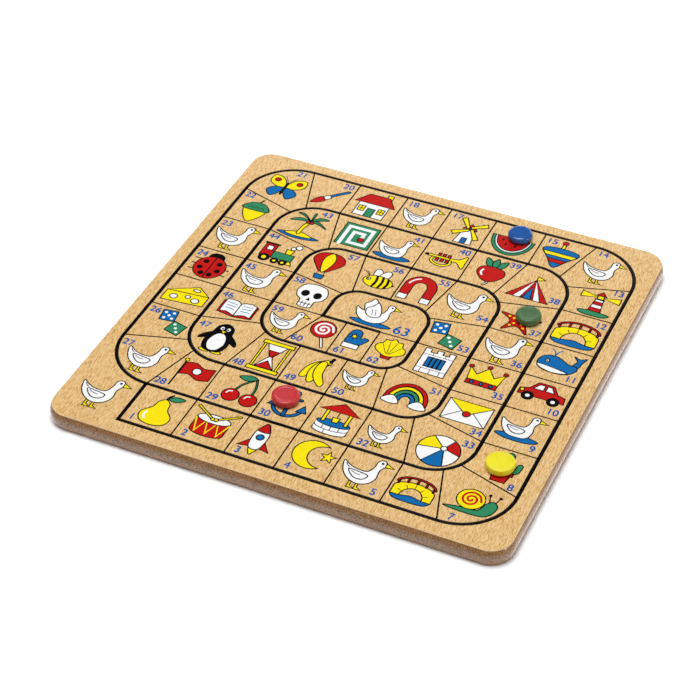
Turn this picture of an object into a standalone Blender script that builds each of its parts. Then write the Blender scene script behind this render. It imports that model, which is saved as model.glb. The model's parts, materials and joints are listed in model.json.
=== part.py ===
"""Reversible wooden game board: a fibreboard panel veneered on both faces, with four moulded counters.

Metres, +Z up. The origin is on the surface that the board lies on, under the middle of the board.
"""

import math

import bmesh
import bpy

# Board panel
BOARD_SIDE = 0.344          # square board, measured over its crowned edges
FACE_CORNER_RADIUS = 0.016  # corner radius of the flat faces
EDGE_CROWN = 0.002          # how far the rounded edge swells past the flat faces
CORE_THICKNESS = 0.012
VENEER_THICKNESS = 0.0005
GLUE_LINE = 0.0001          # glue film between the core and each veneer

# Playing field
TRACK_MARGIN = 0.012        # bare border between the edge of the face and the printed track
TRACK_CELLS = 8             # cells along one side of the field

# Counters, alike on both faces
WIDE_DIAMETER = 0.0200
NARROW_DIAMETER = 0.0187
COUNTER_HEIGHT = 0.006
SOFT_SHOULDER = 0.0022      # radius between rim and side
PLAIN_SHOULDER = 0.0017
CRISP_SHOULDER = 0.0009
COUNTER_RIM = 0.0007        # flat top of the raised rim
DISH_SLOPE = 0.0012         # width of the slope from the rim down to the dish
DISH_DEPTH = 0.00035
SEAT_GAP = 0.0003           # rest clearance under a counter

# Each counter's diameter and shoulder
COUNTER_MOULDS = {
    "red_counter": (WIDE_DIAMETER, PLAIN_SHOULDER),
    "blue_counter": (NARROW_DIAMETER, SOFT_SHOULDER),
    "green_counter": (NARROW_DIAMETER, PLAIN_SHOULDER),
    "yellow_counter": (WIDE_DIAMETER, CRISP_SHOULDER),
}

# Each counter's cell, as column from the left and row from the front, and how far off centre it was put down
COUNTER_PLACES = {
    "red_counter": {"cell": (3, 1), "drift": (-0.0016, 0.0054)},
    "blue_counter": {"cell": (5, 7), "drift": (0.0018, 0.0074)},
    "green_counter": {"cell": (6, 5), "drift": (0.0020, -0.0018)},
    "yellow_counter": {"cell": (7, 1), "drift": (-0.0002, 0.0034)},
}

# Linear colour, roughness and metallic value of each piece
FINISHES = {
    "core_panel": ((0.20, 0.115, 0.062), 0.35, 0.0),
    "goose_face_veneer": ((0.76, 0.49, 0.23), 0.40, 0.0),
    "parcheesi_face_veneer": ((0.76, 0.49, 0.23), 0.40, 0.0),
    "red_counter": ((0.58, 0.05, 0.06), 0.30, 0.0),
    "blue_counter": ((0.03, 0.10, 0.38), 0.25, 0.0),
    "green_counter": ((0.07, 0.16, 0.07), 0.35, 0.0),
    "yellow_counter": ((0.90, 0.80, 0.03), 0.30, 0.0),
}

# Facets
CORNER_STEPS = 14
CORE_EDGE_STEPS = 10
VENEER_EDGE_STEPS = 1
TURN_STEPS = 40
SHOULDER_STEPS = 5
SLOPE_STEPS = 4
MERGE_DISTANCE = 0.000001

# Sizes that follow from those above
FACE_SIDE = BOARD_SIDE - 2 * EDGE_CROWN
BOARD_THICKNESS = CORE_THICKNESS + 2 * (VENEER_THICKNESS + GLUE_LINE)
CELL_SIDE = (FACE_SIDE - 2 * TRACK_MARGIN) / TRACK_CELLS
CROWN_HALF_ANGLE = 2 * math.atan2(EDGE_CROWN, BOARD_THICKNESS / 2)
CROWN_RADIUS = BOARD_THICKNESS / 2 / math.sin(CROWN_HALF_ANGLE)


def clear_scene():
    """Removes whatever the open file holds."""
    for item in list(bpy.data.objects):
        bpy.data.objects.remove(item, do_unlink=True)


def new_collection(name):
    """A collection in the scene for the parts."""
    collection = bpy.data.collections.new(name)
    bpy.context.scene.collection.children.link(collection)
    return collection


def finish_material(name):
    """The piece's own Principled material."""
    colour, roughness, metallic = FINISHES[name]
    material = bpy.data.materials.new(name)
    material.use_nodes = True
    shader = material.node_tree.nodes["Principled BSDF"]
    shader.inputs["Base Color"].default_value = (*colour, 1.0)
    shader.inputs["Roughness"].default_value = roughness
    shader.inputs["Metallic"].default_value = metallic
    return material


def add_part(name, mesh, collection):
    """Puts a mesh in the scene as a named part with its material."""
    mesh.materials.append(finish_material(name))
    part = bpy.data.objects.new(name, mesh)
    collection.objects.link(part)
    return part


def rounded_square(swell):
    """Corner points of the face's outline, grown outwards by swell, anticlockwise."""
    arc_centre = FACE_SIDE / 2 - FACE_CORNER_RADIUS
    radius = FACE_CORNER_RADIUS + swell
    points = []
    for corner in range(4):
        middle = math.radians(45 + 90 * corner)
        centre_x = math.copysign(arc_centre, math.cos(middle))
        centre_y = math.copysign(arc_centre, math.sin(middle))
        for step in range(CORNER_STEPS + 1):
            angle = math.radians(90 * corner + 90 * step / CORNER_STEPS)
            points.append((centre_x + radius * math.cos(angle), centre_y + radius * math.sin(angle)))
    return points


def crowned_slab(name, low, high, edge_steps):
    """A layer of the board between two heights from its mid plane, lofted along the crowned edge."""
    mesh = bmesh.new()
    first = math.asin(low / CROWN_RADIUS)
    last = math.asin(high / CROWN_RADIUS)
    loops = []
    for step in range(edge_steps + 1):
        angle = first + (last - first) * step / edge_steps
        height = CROWN_RADIUS * math.sin(angle)
        swell = CROWN_RADIUS * (math.cos(angle) - math.cos(CROWN_HALF_ANGLE))
        ring = [mesh.verts.new((x, y, height)) for x, y in rounded_square(swell)]
        loops.append([mesh.edges.new((ring[i - 1], ring[i])) for i in range(len(ring))])
    for lower, upper in zip(loops, loops[1:]):
        bmesh.ops.bridge_loops(mesh, edges=lower + upper)
    bmesh.ops.holes_fill(mesh, edges=loops[0] + loops[-1])
    bmesh.ops.recalc_face_normals(mesh, faces=mesh.faces)
    data = bpy.data.meshes.new(name)
    mesh.to_mesh(data)
    mesh.free()
    return data


def counter_half_profile(diameter, shoulder):
    """Radius and height above mid height of a counter's upper half, from its axis out and down to the side."""
    half_height = COUNTER_HEIGHT / 2
    shoulder = min(shoulder, half_height)
    rim_outer = diameter / 2 - shoulder
    slope_outer = rim_outer - COUNTER_RIM
    points = [(0.0, half_height - DISH_DEPTH)]
    for step in range(SLOPE_STEPS + 1):
        share = step / SLOPE_STEPS
        rise = (1 - math.cos(math.pi * share)) / 2
        points.append((slope_outer - DISH_SLOPE * (1 - share), half_height - DISH_DEPTH * (1 - rise)))
    for step in range(SHOULDER_STEPS + 1):
        angle = math.radians(90 * (1 - step / SHOULDER_STEPS))
        points.append((rim_outer + shoulder * math.cos(angle), half_height - shoulder * (1 - math.sin(angle))))
    return points


def turned_counter(name):
    """A counter's profile as a chain of edges, standing on z = 0, ready to be turned about its axis."""
    upper = counter_half_profile(*COUNTER_MOULDS[name])
    lower = [(radius, -height) for radius, height in reversed(upper)]
    chain = [(radius, 0.0, height + COUNTER_HEIGHT / 2) for radius, height in upper + lower]
    links = [(i, i + 1) for i in range(len(chain) - 1)]
    data = bpy.data.meshes.new(name)
    data.from_pydata(chain, links, [])
    return data


def add_board(collection):
    """The core and its two veneers, carried by an empty on the board's mid plane."""
    mid_plane = bpy.data.objects.new("board_mid_plane", None)
    mid_plane.location = (0.0, 0.0, BOARD_THICKNESS / 2)
    collection.objects.link(mid_plane)
    core_top = CORE_THICKNESS / 2
    veneer_foot = core_top + GLUE_LINE
    veneer_top = veneer_foot + VENEER_THICKNESS
    layers = {
        "core_panel": (-core_top, core_top, CORE_EDGE_STEPS),
        "goose_face_veneer": (veneer_foot, veneer_top, VENEER_EDGE_STEPS),
        "parcheesi_face_veneer": (-veneer_top, -veneer_foot, VENEER_EDGE_STEPS),
    }
    for name, (low, high, edge_steps) in layers.items():
        layer = add_part(name, crowned_slab(name, low, high, edge_steps), collection)
        layer.parent = mid_plane


def add_counter(name, collection):
    """One counter, its origin at the middle of its foot, resting in its cell of the printed track."""
    counter = add_part(name, turned_counter(name), collection)
    turn = counter.modifiers.new("Turn", "SCREW")
    turn.steps = TURN_STEPS
    turn.render_steps = TURN_STEPS
    turn.use_merge_vertices = True
    turn.merge_threshold = MERGE_DISTANCE
    turn.use_smooth_shade = True
    column, row = COUNTER_PLACES[name]["cell"]
    drift_x, drift_y = COUNTER_PLACES[name]["drift"]
    field_edge = TRACK_CELLS * CELL_SIDE / 2
    counter.location = (
        (column + 0.5) * CELL_SIDE - field_edge + drift_x,
        (row + 0.5) * CELL_SIDE - field_edge + drift_y,
        BOARD_THICKNESS + SEAT_GAP,
    )


def main():
    clear_scene()
    collection = new_collection("reversible_game_board")
    add_board(collection)
    for name in COUNTER_PLACES:
        add_counter(name, collection)


main()
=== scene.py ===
"""Looks of a reversible wooden game board: veneer, core, counters, two printed games and a stage."""

import json
import math

import bmesh
import bpy
from bpy.props import FloatProperty, FloatVectorProperty, PointerProperty
from mathutils import Matrix, Vector
from mathutils.geometry import tessellate_polygon
from mathutils.kdtree import KDTree

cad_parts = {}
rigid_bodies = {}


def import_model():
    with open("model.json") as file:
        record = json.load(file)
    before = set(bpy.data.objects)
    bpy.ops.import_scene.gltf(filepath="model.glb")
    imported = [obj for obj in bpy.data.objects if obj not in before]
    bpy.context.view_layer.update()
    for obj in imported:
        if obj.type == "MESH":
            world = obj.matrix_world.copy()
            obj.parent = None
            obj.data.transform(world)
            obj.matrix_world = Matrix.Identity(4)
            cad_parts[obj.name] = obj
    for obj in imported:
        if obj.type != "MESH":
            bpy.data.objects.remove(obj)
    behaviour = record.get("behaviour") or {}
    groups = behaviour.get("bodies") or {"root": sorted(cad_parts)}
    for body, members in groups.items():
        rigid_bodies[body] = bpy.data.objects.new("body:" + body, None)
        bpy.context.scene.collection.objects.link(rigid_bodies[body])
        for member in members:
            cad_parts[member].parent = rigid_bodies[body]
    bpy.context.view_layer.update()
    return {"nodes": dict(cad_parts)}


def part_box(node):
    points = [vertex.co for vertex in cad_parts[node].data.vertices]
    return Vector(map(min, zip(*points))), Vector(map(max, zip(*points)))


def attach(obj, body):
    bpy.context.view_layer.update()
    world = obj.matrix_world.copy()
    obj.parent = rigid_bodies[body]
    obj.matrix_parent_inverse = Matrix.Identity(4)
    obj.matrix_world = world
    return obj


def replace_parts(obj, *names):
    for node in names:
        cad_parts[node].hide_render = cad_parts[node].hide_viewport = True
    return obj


bl_info = {
    "name": "Reversible game board",
    "version": (1, 0, 0),
    "blender": (4, 5, 0),
    "location": "View3D > Sidebar > Game board",
    "description": "Finishes the packed board with veneer, moulded counters and a printed game on each face",
    "category": "Object",
}

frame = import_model()
SAME_PLACE = 0.000001  # points nearer than this are one point


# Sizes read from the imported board


def face_outline():
    """Half side and corner radius of the upper face, from the veneer's own top corners."""
    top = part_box("goose_face_veneer")[1].z
    corners = [v.co for v in frame["nodes"]["goose_face_veneer"].data.vertices if top - v.co.z < SAME_PLACE]
    half = max(co.x for co in corners)
    straight = max(co.y for co in corners if half - co.x < SAME_PLACE)
    return half, half - straight


FACE_HALF, FACE_CORNER = face_outline()
FACE_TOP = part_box("goose_face_veneer")[1].z
CORE_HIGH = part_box("core_panel")[1]
MID_PLANE = FACE_TOP / 2
EDGE_CROWN = CORE_HIGH.x - FACE_HALF
CROWN_HALF_ANGLE = 2 * math.atan2(EDGE_CROWN, MID_PLANE)
CROWN_RADIUS = MID_PLANE / math.sin(CROWN_HALF_ANGLE)

# Facets of the finished meshes
CORNER_STEPS = 32
CROWN_STEPS = 24
VENEER_STEPS = 2
ARRIS_STEPS = 6
TURN_STEPS = 96
SHOULDER_STEPS = 12
SLOPE_STEPS = 8
BEND_STEPS = 16
OVAL_STEPS = 40
ARC_STEPS = 24
CURVE_STEPS = 6
CAP_STEPS = 8
SHARP_ANGLE = math.radians(30)
MITRE_LIMIT = 0.45  # keeps the points of sharp corners short

# Veneer and core. A tone is given by two levels of a noise and the brightness at each
ARRIS_RADIUS = 0.00045  # worn edge of the veneer
ARRIS_SHADING_DROP = (0.00016, 0.00001)  # depths under a face between which its arris band takes the veneer's colour; the band is a sanded edge with a painted highlight on the upper face and painted shade on the lower
SCUFFED_DROP = (0.00044, 0.00026)  # depths between which the veneer's side takes the colour of the arris band
GRAIN_LEAN = math.radians(-2)  # of the veneer's grain from the board's depth
RAY_REACH = (0.50, 0.08)  # ways from a ray's middle, in its own size, to its edge and to its full strength
RAY_CONTRAST = 1.2  # the higher, the fewer rays are strong
RAY_SHARE = 0.95  # share of the flecks' colour in a full ray
STREAK_SIZE = (0.00038, 0.0062)  # width and length of a fine streak
STREAK_SHARE = 0.65  # share of the flecks' colour in a full streak
DARK_STREAK = (0.45, 0.80)  # levels of the streaks between which the wood gets dark
PALE_STREAK = (0.46, 0.24)  # and between which it gets pale
BAND_SIZE = (0.016, 0.22)  # width and length of a slow change of tone
BAND_TONE = ((0.25, 0.75), (0.98, 1.02))
FLECK_RELIEF = (0.3, 0.00004)  # strength and depth of the hollows of the flecks
DENSE_RISE = (0.0004, 0.0038)  # heights from mid plane between which the core gets denser
FIBRE_NOISE = (1300.0, 3.0, 0.6)  # scale, detail and roughness
FIBRE_TONE = ((0.3, 0.7), (0.2, 1.8))
FIBRE_RELIEF = (0.2, 0.00004)

# Varnish. A coat's values are its roughness, how far that spreads and the depth of its ripples
VARNISH_CLOUD = (140.0, 4.0)  # scale and detail of the changes of roughness
VARNISH_RIPPLE = (900.0, 2.0)
RIPPLE_STRENGTH = 0.25
FACE_COAT = (0.12, 0.00002)  # the faces' roughness is a setting
CORE_COAT = (0.14, 0.06, 0.00001)
PLASTIC_COAT = (0.3, 0.00009)  # both times the plastic's roughness

# Ink and plastic
INKS = ("black", "white", "red", "yellow", "green", "blue")
INK_NOISE = (420.0, 3.0)
INK_TONE = ((0.2, 0.8), (0.93, 1.06))
FLOW_NOISE = (160.0, 3.0, 0.5, 0.6)  # scale, detail, roughness and distortion
FLOW_TONE = ((0.2, 0.8), (0.92, 1.08))
FOOT_GAP = 0.00012  # room for the ink films under a counter
FOOT_SHOULDER = 0.0028  # radius between a counter's side and its foot
COUNTER_LOOKS = {  # each counter's roughness, strength of reflection and depth of its dish
    "red": (0.34, 0.65, 0.00028),
    "blue": (0.10, 0.75, 0.00008),
    "green": (0.34, 0.40, 0.00028),
    "yellow": (0.34, 0.24, 0.00028),
}


# Settings that a user would change


def amount(name, description, default, **limits):
    """A plain number."""
    return FloatProperty(name=name, description=description, default=default, **limits)


def length(name, description, default):
    """A size in metres."""
    return amount(name, description, default, min=0.0, unit="LENGTH", precision=5)


def share(name, description, default):
    """A plain factor from nought to one."""
    return amount(name, description, default, min=0.0, max=1.0, subtype="FACTOR")


def lamp_power(name, description, default):
    """Power of a lamp in watts."""
    return amount(name, description, default, subtype="POWER")


def triple(name, description, default, **limits):
    """Three numbers."""
    return FloatVectorProperty(name=name, description=description, default=default, size=3, **limits)


def colour(name, description, default):
    """A linear colour."""
    return triple(name, description, default, min=0.0, max=1.0, subtype="COLOR")


def location(name, description, default):
    """A place in metres."""
    return triple(name, description, default, subtype="TRANSLATION")


class GAMEBOARD_PG_board(bpy.types.PropertyGroup):
    """Veneer and core."""

    beech: colour("Beech", "Veneer between its flecks", (0.864, 0.585, 0.262))
    fleck: colour("Fleck", "Short dark rays in the veneer", (0.47, 0.18, 0.0))
    pale: colour("Pale streak", "Lightest streaks of the veneer", (0.98, 0.74, 0.46))
    # Upper arris: a sanded edge, made lighter still by a painted highlight where the varnish would catch the
    # lamp
    arris_wear_and_shading: colour("Worn edge", "Sanded edge of the veneer", (0.95, 0.72, 0.46))
    fleck_length: length("Fleck length", "Usual length of a fleck's place along the board's depth", 0.0046)
    fleck_width: length("Fleck width", "Usual width of a fleck's place", 0.00070)
    # Veneer's side; on the lower veneer also its arris band, where this colour is painted shade
    scuffed_side_and_shade: colour("Scuffed edge", "Side of the veneer", (0.36, 0.21, 0.11))
    core: colour("Core", "Fibreboard edge at mid height", (0.350, 0.211, 0.121))
    dense_core: colour("Dense core", "Fibreboard edge pressed denser by the veneers", (0.350, 0.174, 0.073))
    varnish_roughness: share("Varnish roughness", "Roughness of the clear varnish", 0.34)
    varnish_shine: share("Varnish shine", "Strength of the reflection on the faces", 0.24)
    core_shine: share("Core shine", "Strength of the reflection on the core's edge", 0.30)


class GAMEBOARD_PG_counters(bpy.types.PropertyGroup):
    """Moulded counters."""

    rim: length("Rim", "Flat top of the raised rim", 0.0007)
    dish_slope: length("Dish slope", "Width of the slope down to the dish", 0.0012)
    red: colour("Red", "Red plastic", (0.600, 0.030, 0.038))
    blue: colour("Blue", "Blue plastic", (0.016, 0.103, 0.383))
    green: colour("Green", "Green plastic", (0.074, 0.158, 0.060))
    yellow: colour("Yellow", "Yellow plastic", (0.91, 0.810, 0.026))


class GAMEBOARD_PG_print(bpy.types.PropertyGroup):
    """Screen-printed games."""

    lane: length("Lane", "Width of a lane of the spiral track", 0.0405)
    centre_cell: length("Centre cell", "Width of the two middle columns", 0.0370)
    back_shift: length("Back shift", "How far the print sits behind the middle of the face", 0.00075)
    track_line: length("Track line", "Width of the line along the track", 0.0028)
    divider: length("Divider", "Width of the line between two cells", 0.00115)
    outline: length("Outline", "Width of the black line round a picture's shapes", 0.00085)
    film: length("Film", "Thickness of one ink film", 0.000008)
    number_height: length("Number height", "Height of a cell's number", 0.0064)
    last_number_height: length("Last number height", "Height of the number in the last cell", 0.0094)
    number_body: length("Number body", "Width added to the strokes of the numbers", 0.00042)
    shine: share("Ink shine", "Strength of the reflection on the ink", 0.05)
    black: colour("Black", "Black ink", (0.0025, 0.0018, 0.0020))
    white: colour("White", "White ink", (0.97, 0.97, 0.97))
    red: colour("Red", "Red ink", (0.555, 0.0100, 0.0085))
    yellow: colour("Yellow", "Yellow ink", (0.98, 0.800, 0.007))
    green: colour("Green", "Green ink", (0.034, 0.263, 0.124))
    blue: colour("Blue", "Blue ink", (0.006, 0.147, 0.435))
    number: colour("Number", "Ink of the numbers", (0.003, 0.098, 0.420))


class GAMEBOARD_PG_stage(bpy.types.PropertyGroup):
    """Lamps, sky and camera."""

    camera_place: location("Camera place", "From the middle of the upper face", (0.44878, -1.01591, 0.92894))
    camera_aim: location("Camera aim", "Point looked at, from the same middle", (-0.00308, -0.02630, 0.0))
    camera_roll: amount("Camera roll", "Turn of the picture", math.radians(-0.21), subtype="ANGLE")
    lens: amount("Lens", "Focal length on a 36 mm sensor", 103.35, unit="CAMERA")
    sky: amount("Sky", "Strength of the even light from all sides", 0.12)
    main: lamp_power("Main", "Power of the lamp overhead", 53.5)
    front: lamp_power("Front", "Power of the low lamp in front", 2.0)
    side: lamp_power("Side", "Power of the low lamp on the right", 11.0)
    rear: lamp_power("Rear", "Power of the low panel behind", 4.2)


class GAMEBOARD_PG_settings(bpy.types.PropertyGroup):
    """All settings of the board."""

    board: PointerProperty(type=GAMEBOARD_PG_board)
    counters: PointerProperty(type=GAMEBOARD_PG_counters)
    print: PointerProperty(type=GAMEBOARD_PG_print)
    stage: PointerProperty(type=GAMEBOARD_PG_stage)


def settings():
    """The scene's settings for this board."""
    return bpy.context.scene.game_board


# Pieces and plain meshes


def add_piece(name, mesh, body):
    """Puts a finished mesh in the scene as a piece that rides on a body."""
    piece = bpy.data.objects.new(name, mesh)
    bpy.context.scene.collection.objects.link(piece)
    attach(piece, body)
    return piece


def evaluated_mesh(mesh, name, add_modifier):
    """The plain mesh that comes out of a modifier put on a mesh."""
    helper = bpy.data.objects.new(name + "_helper", mesh)
    bpy.context.scene.collection.objects.link(helper)
    modifier = add_modifier(helper)
    bpy.context.view_layer.update()
    graph = bpy.context.evaluated_depsgraph_get()
    made = bpy.data.meshes.new_from_object(helper.evaluated_get(graph), depsgraph=graph)
    made.name = name
    helper.modifiers.remove(modifier)
    bpy.data.objects.remove(helper)
    return made


def geometry_mesh(mesh, name, tree, values):
    """The plain mesh that a geometry node tree makes from a mesh, with the tree's named inputs set."""

    def add_modifier(helper):
        modifier = helper.modifiers.new(tree.name, "NODES")
        modifier.node_group = tree
        for item in tree.interface.items_tree:
            if item.in_out == "INPUT" and item.name in values:
                modifier[item.identifier] = values[item.name]
        return modifier

    return evaluated_mesh(mesh, name, add_modifier)


def smooth(mesh):
    """Shades a mesh smooth apart from its sharp edges."""
    mesh.shade_smooth()
    mesh.set_sharp_from_angle(angle=SHARP_ANGLE)
    return mesh


# Nodes


def node(tree, kind, inputs=None, **properties):
    """Adds a node, sets its properties, and gives its inputs values or links."""
    made = tree.nodes.new(kind)
    for name, value in properties.items():
        setattr(made, name, value)
    for key, value in (inputs or {}).items():
        if isinstance(value, bpy.types.NodeSocket):
            tree.links.new(value, made.inputs[key])
        else:
            made.inputs[key].default_value = value
    return made


def output(tree, kind, inputs=None, **properties):
    """The first output of a new node."""
    return node(tree, kind, inputs, **properties).outputs[0]


def new_group(name, kind, inputs, outputs):
    """An empty node group, what goes into it and what comes out of it, by the names of its sockets."""
    tree = bpy.data.node_groups.new(name, kind)
    for in_out, sockets in (("INPUT", inputs), ("OUTPUT", outputs)):
        for socket_name, socket_type in sockets.items():
            tree.interface.new_socket(socket_name, in_out=in_out, socket_type="NodeSocket" + socket_type)
    return tree, node(tree, "NodeGroupInput").outputs, node(tree, "NodeGroupOutput").inputs


def shared_group(name, build):
    """A node group, built the first time that it is asked for."""
    return bpy.data.node_groups.get(name) or build()


def calc(tree, operation, *values, clamp=False):
    """The result of a sum on one to three values."""
    return output(tree, "ShaderNodeMath", dict(enumerate(values)), operation=operation, use_clamp=clamp)


def ranged(tree, value, span, results, easing="LINEAR"):
    """A value carried from one span of levels to another."""
    inputs = {"Value": value, "From Min": span[0], "From Max": span[1]}
    inputs.update({"To Min": results[0], "To Max": results[1]})
    return output(tree, "ShaderNodeMapRange", inputs, interpolation_type=easing)


def eased(tree, value, span):
    """A value eased from nought at the start of a span to one at its end."""
    return ranged(tree, value, span, (0.0, 1.0), "SMOOTHSTEP")


def noise(tree, vector, scale, detail, roughness=0.5, distortion=0.0):
    """Cloudy levels about one half."""
    inputs = {"Vector": vector, "Scale": scale, "Detail": detail}
    inputs.update({"Roughness": roughness, "Distortion": distortion})
    return output(tree, "ShaderNodeTexNoise", inputs)


def stretched(tree, vector, width, depth):
    """Coordinates counted in a feature's width across the board and its length along the board's depth."""
    parts = node(tree, "ShaderNodeSeparateXYZ", {0: vector}).outputs
    sizes = {"X": width, "Y": depth, "Z": width}
    counts = {axis: calc(tree, "DIVIDE", parts[axis], size) for axis, size in sizes.items()}
    return output(tree, "ShaderNodeCombineXYZ", counts)


def opaque(tint):
    """A colour with its alpha."""
    return (*tint, 1.0)


def mixed_colours(tree, factor, first, second):
    """Two colours mixed by a factor. A Mix node's colours are its sockets 6 and 7, and its output 2."""
    return node(tree, "ShaderNodeMix", {0: factor, 6: first, 7: second}, data_type="RGBA").outputs[2]


def toned(tree, tint, level, span, tones):
    """A colour made darker and lighter by a level."""
    tone = ranged(tree, level, span, tones)
    return output(tree, "ShaderNodeVectorMath", {0: tint, 1: tone}, operation="MULTIPLY")


def bumped(tree, height, strength, depth, under=None, invert=False):
    """The normals of a relief, laid over another relief's where these are given."""
    inputs = {"Height": height, "Strength": strength, "Distance": depth}
    if under is not None:
        inputs["Normal"] = under
    return output(tree, "ShaderNodeBump", inputs, invert=invert)


# Materials


def beech_group():
    """Shared figure of the wood: short rays, fine streaks and slow changes of tone."""
    tree, given, made = new_group(
        "Beech figure",
        "ShaderNodeTree",
        {
            "Vector": "Vector",
            "Wood": "Color",
            "Pale": "Color",
            "Fleck": "Color",
            "Length": "Float",
            "Width": "Float",
        },
        {"Color": "Color", "Height": "Float"},
    )
    leaning = {"Vector": given["Vector"], "Angle": GRAIN_LEAN}
    vector = output(tree, "ShaderNodeVectorRotate", leaning, rotation_type="Z_AXIS")
    places = {"Vector": stretched(tree, vector, given["Width"], given["Length"]), "Scale": 1.0}
    rays = node(tree, "ShaderNodeTexVoronoi", places, voronoi_dimensions="2D").outputs
    depth = output(tree, "ShaderNodeSeparateColor", {0: rays["Color"]})
    strength = calc(tree, "POWER", depth, RAY_CONTRAST)
    ray_mask = calc(tree, "MULTIPLY", eased(tree, rays["Distance"], RAY_REACH), strength)
    streaks = noise(tree, stretched(tree, vector, *STREAK_SIZE), 1.0, 2.0)
    bands = noise(tree, stretched(tree, vector, *BAND_SIZE), 1.0, 3.0)
    ray_share = calc(tree, "MULTIPLY", ray_mask, RAY_SHARE)
    streak_mask = eased(tree, streaks, DARK_STREAK)
    dark = calc(tree, "MULTIPLY_ADD", streak_mask, STREAK_SHARE, ray_share, clamp=True)
    streaked = mixed_colours(tree, eased(tree, streaks, PALE_STREAK), given["Wood"], given["Pale"])
    wood = mixed_colours(tree, dark, streaked, given["Fleck"])
    tree.links.new(toned(tree, wood, bands, *BAND_TONE), made["Color"])
    tree.links.new(dark, made["Height"])
    return tree


def varnish_group():
    """Shared clear varnish: its roughness changes a little, and it lies in faint ripples."""
    tree, given, made = new_group(
        "Satin varnish",
        "ShaderNodeTree",
        {"Vector": "Vector", "Roughness": "Float", "Spread": "Float"},
        {"Roughness": "Float", "Height": "Float"},
    )
    around = calc(tree, "SUBTRACT", noise(tree, given["Vector"], *VARNISH_CLOUD), 0.5)
    swing = calc(tree, "MULTIPLY", around, given["Spread"])
    tree.links.new(calc(tree, "ADD", given["Roughness"], swing), made["Roughness"])
    tree.links.new(noise(tree, given["Vector"], *VARNISH_RIPPLE), made["Height"])
    return tree


def new_material(name, shine):
    """A material with its shine, its node tree, its shader and the piece's own coordinates."""
    material = bpy.data.materials.new(name)
    material.use_nodes = True
    tree = material.node_tree
    shader = tree.nodes["Principled BSDF"]
    shader.inputs["Specular IOR Level"].default_value = shine
    return material, tree, shader, node(tree, "ShaderNodeTexCoord").outputs["Object"]


def finish(tree, shader, vector, base, coat, relief=None):
    """Gives a shader its colour and a varnish's roughness and ripples, over a relief where one is given."""
    roughness, spread, ripples = coat
    varnish = node(
        tree,
        "ShaderNodeGroup",
        {"Vector": vector, "Roughness": roughness, "Spread": spread},
        node_tree=shared_group("Satin varnish", varnish_group),
    ).outputs
    normal = bumped(tree, varnish["Height"], RIPPLE_STRENGTH, ripples, relief)
    for name, socket in (("Base Color", base), ("Roughness", varnish["Roughness"]), ("Normal", normal)):
        tree.links.new(socket, shader.inputs[name])


def from_mid_plane(tree, vector):
    """Height of a point above or below the board's mid plane."""
    height = node(tree, "ShaderNodeSeparateXYZ", {0: vector}).outputs["Z"]
    return calc(tree, "ABSOLUTE", calc(tree, "SUBTRACT", height, MID_PLANE))


def beech_material(name, arris_wear_and_shading):
    """Varnished beech veneer with a darker side and an arris band of its own colour: a sanded edge with a
    painted highlight on the upper face, painted shade on the lower.
    """
    board = settings().board
    material, tree, shader, vector = new_material(name, board.varnish_shine)
    figure = node(
        tree,
        "ShaderNodeGroup",
        {
            "Vector": vector,
            "Wood": opaque(board.beech),
            "Pale": opaque(board.pale),
            "Fleck": opaque(board.fleck),
            "Length": board.fleck_length,
            "Width": board.fleck_width,
        },
        node_tree=shared_group("Beech figure", beech_group),
    ).outputs
    rise = from_mid_plane(tree, vector)
    # Arris band: on the upper face a sanded edge with a painted highlight, on the lower face painted shade in
    # the side's colour
    arris_share = eased(tree, rise, [MID_PLANE - drop for drop in SCUFFED_DROP])
    edge = mixed_colours(tree, arris_share, opaque(board.scuffed_side_and_shade), opaque(arris_wear_and_shading))
    figure_share = eased(tree, rise, [MID_PLANE - drop for drop in ARRIS_SHADING_DROP])
    base = mixed_colours(tree, figure_share, edge, figure["Color"])
    relief = bumped(tree, figure["Height"], *FLECK_RELIEF, invert=True)
    finish(tree, shader, vector, base, (board.varnish_roughness, *FACE_COAT), relief)
    return material


def core_material():
    """Brown fibreboard edge, sealed with varnish."""
    board = settings().board
    material, tree, shader, vector = new_material("fibreboard_edge", board.core_shine)
    fibres = noise(tree, vector, *FIBRE_NOISE)
    dense = eased(tree, from_mid_plane(tree, vector), DENSE_RISE)
    layers = mixed_colours(tree, dense, opaque(board.core), opaque(board.dense_core))
    relief = bumped(tree, fibres, *FIBRE_RELIEF)
    finish(tree, shader, vector, toned(tree, layers, fibres, *FIBRE_TONE), CORE_COAT, relief)
    return material


def ink_material(name, ink):
    """Screen-printed ink with a little mottle, under the same varnish as the wood."""
    material, tree, shader, vector = new_material(name, settings().print.shine)
    base = toned(tree, tuple(ink), noise(tree, vector, *INK_NOISE), *INK_TONE)
    finish(tree, shader, vector, base, (settings().board.varnish_roughness, *FACE_COAT))
    return material


def plastic_material(name, tint, roughness, shine):
    """Moulded plastic with a soft gloss and flow clouds."""
    material, tree, shader, vector = new_material(name, shine)
    base = toned(tree, tuple(tint), noise(tree, vector, *FLOW_NOISE), *FLOW_TONE)
    finish(tree, shader, vector, base, (roughness, *(value * roughness for value in PLASTIC_COAT)))
    return material


# Board


def rounded_square(swell):
    """Points of the face's outline grown outwards by swell, anticlockwise."""
    arc_centre = FACE_HALF - FACE_CORNER
    radius = FACE_CORNER + swell
    points = []
    for corner in range(4):
        middle = math.radians(45 + 90 * corner)
        centre_x = math.copysign(arc_centre, math.cos(middle))
        centre_y = math.copysign(arc_centre, math.sin(middle))
        for step in range(CORNER_STEPS + 1):
            angle = math.radians(90 * corner + 90 * step / CORNER_STEPS)
            points.append((centre_x + radius * math.cos(angle), centre_y + radius * math.sin(angle)))
    return points


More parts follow.
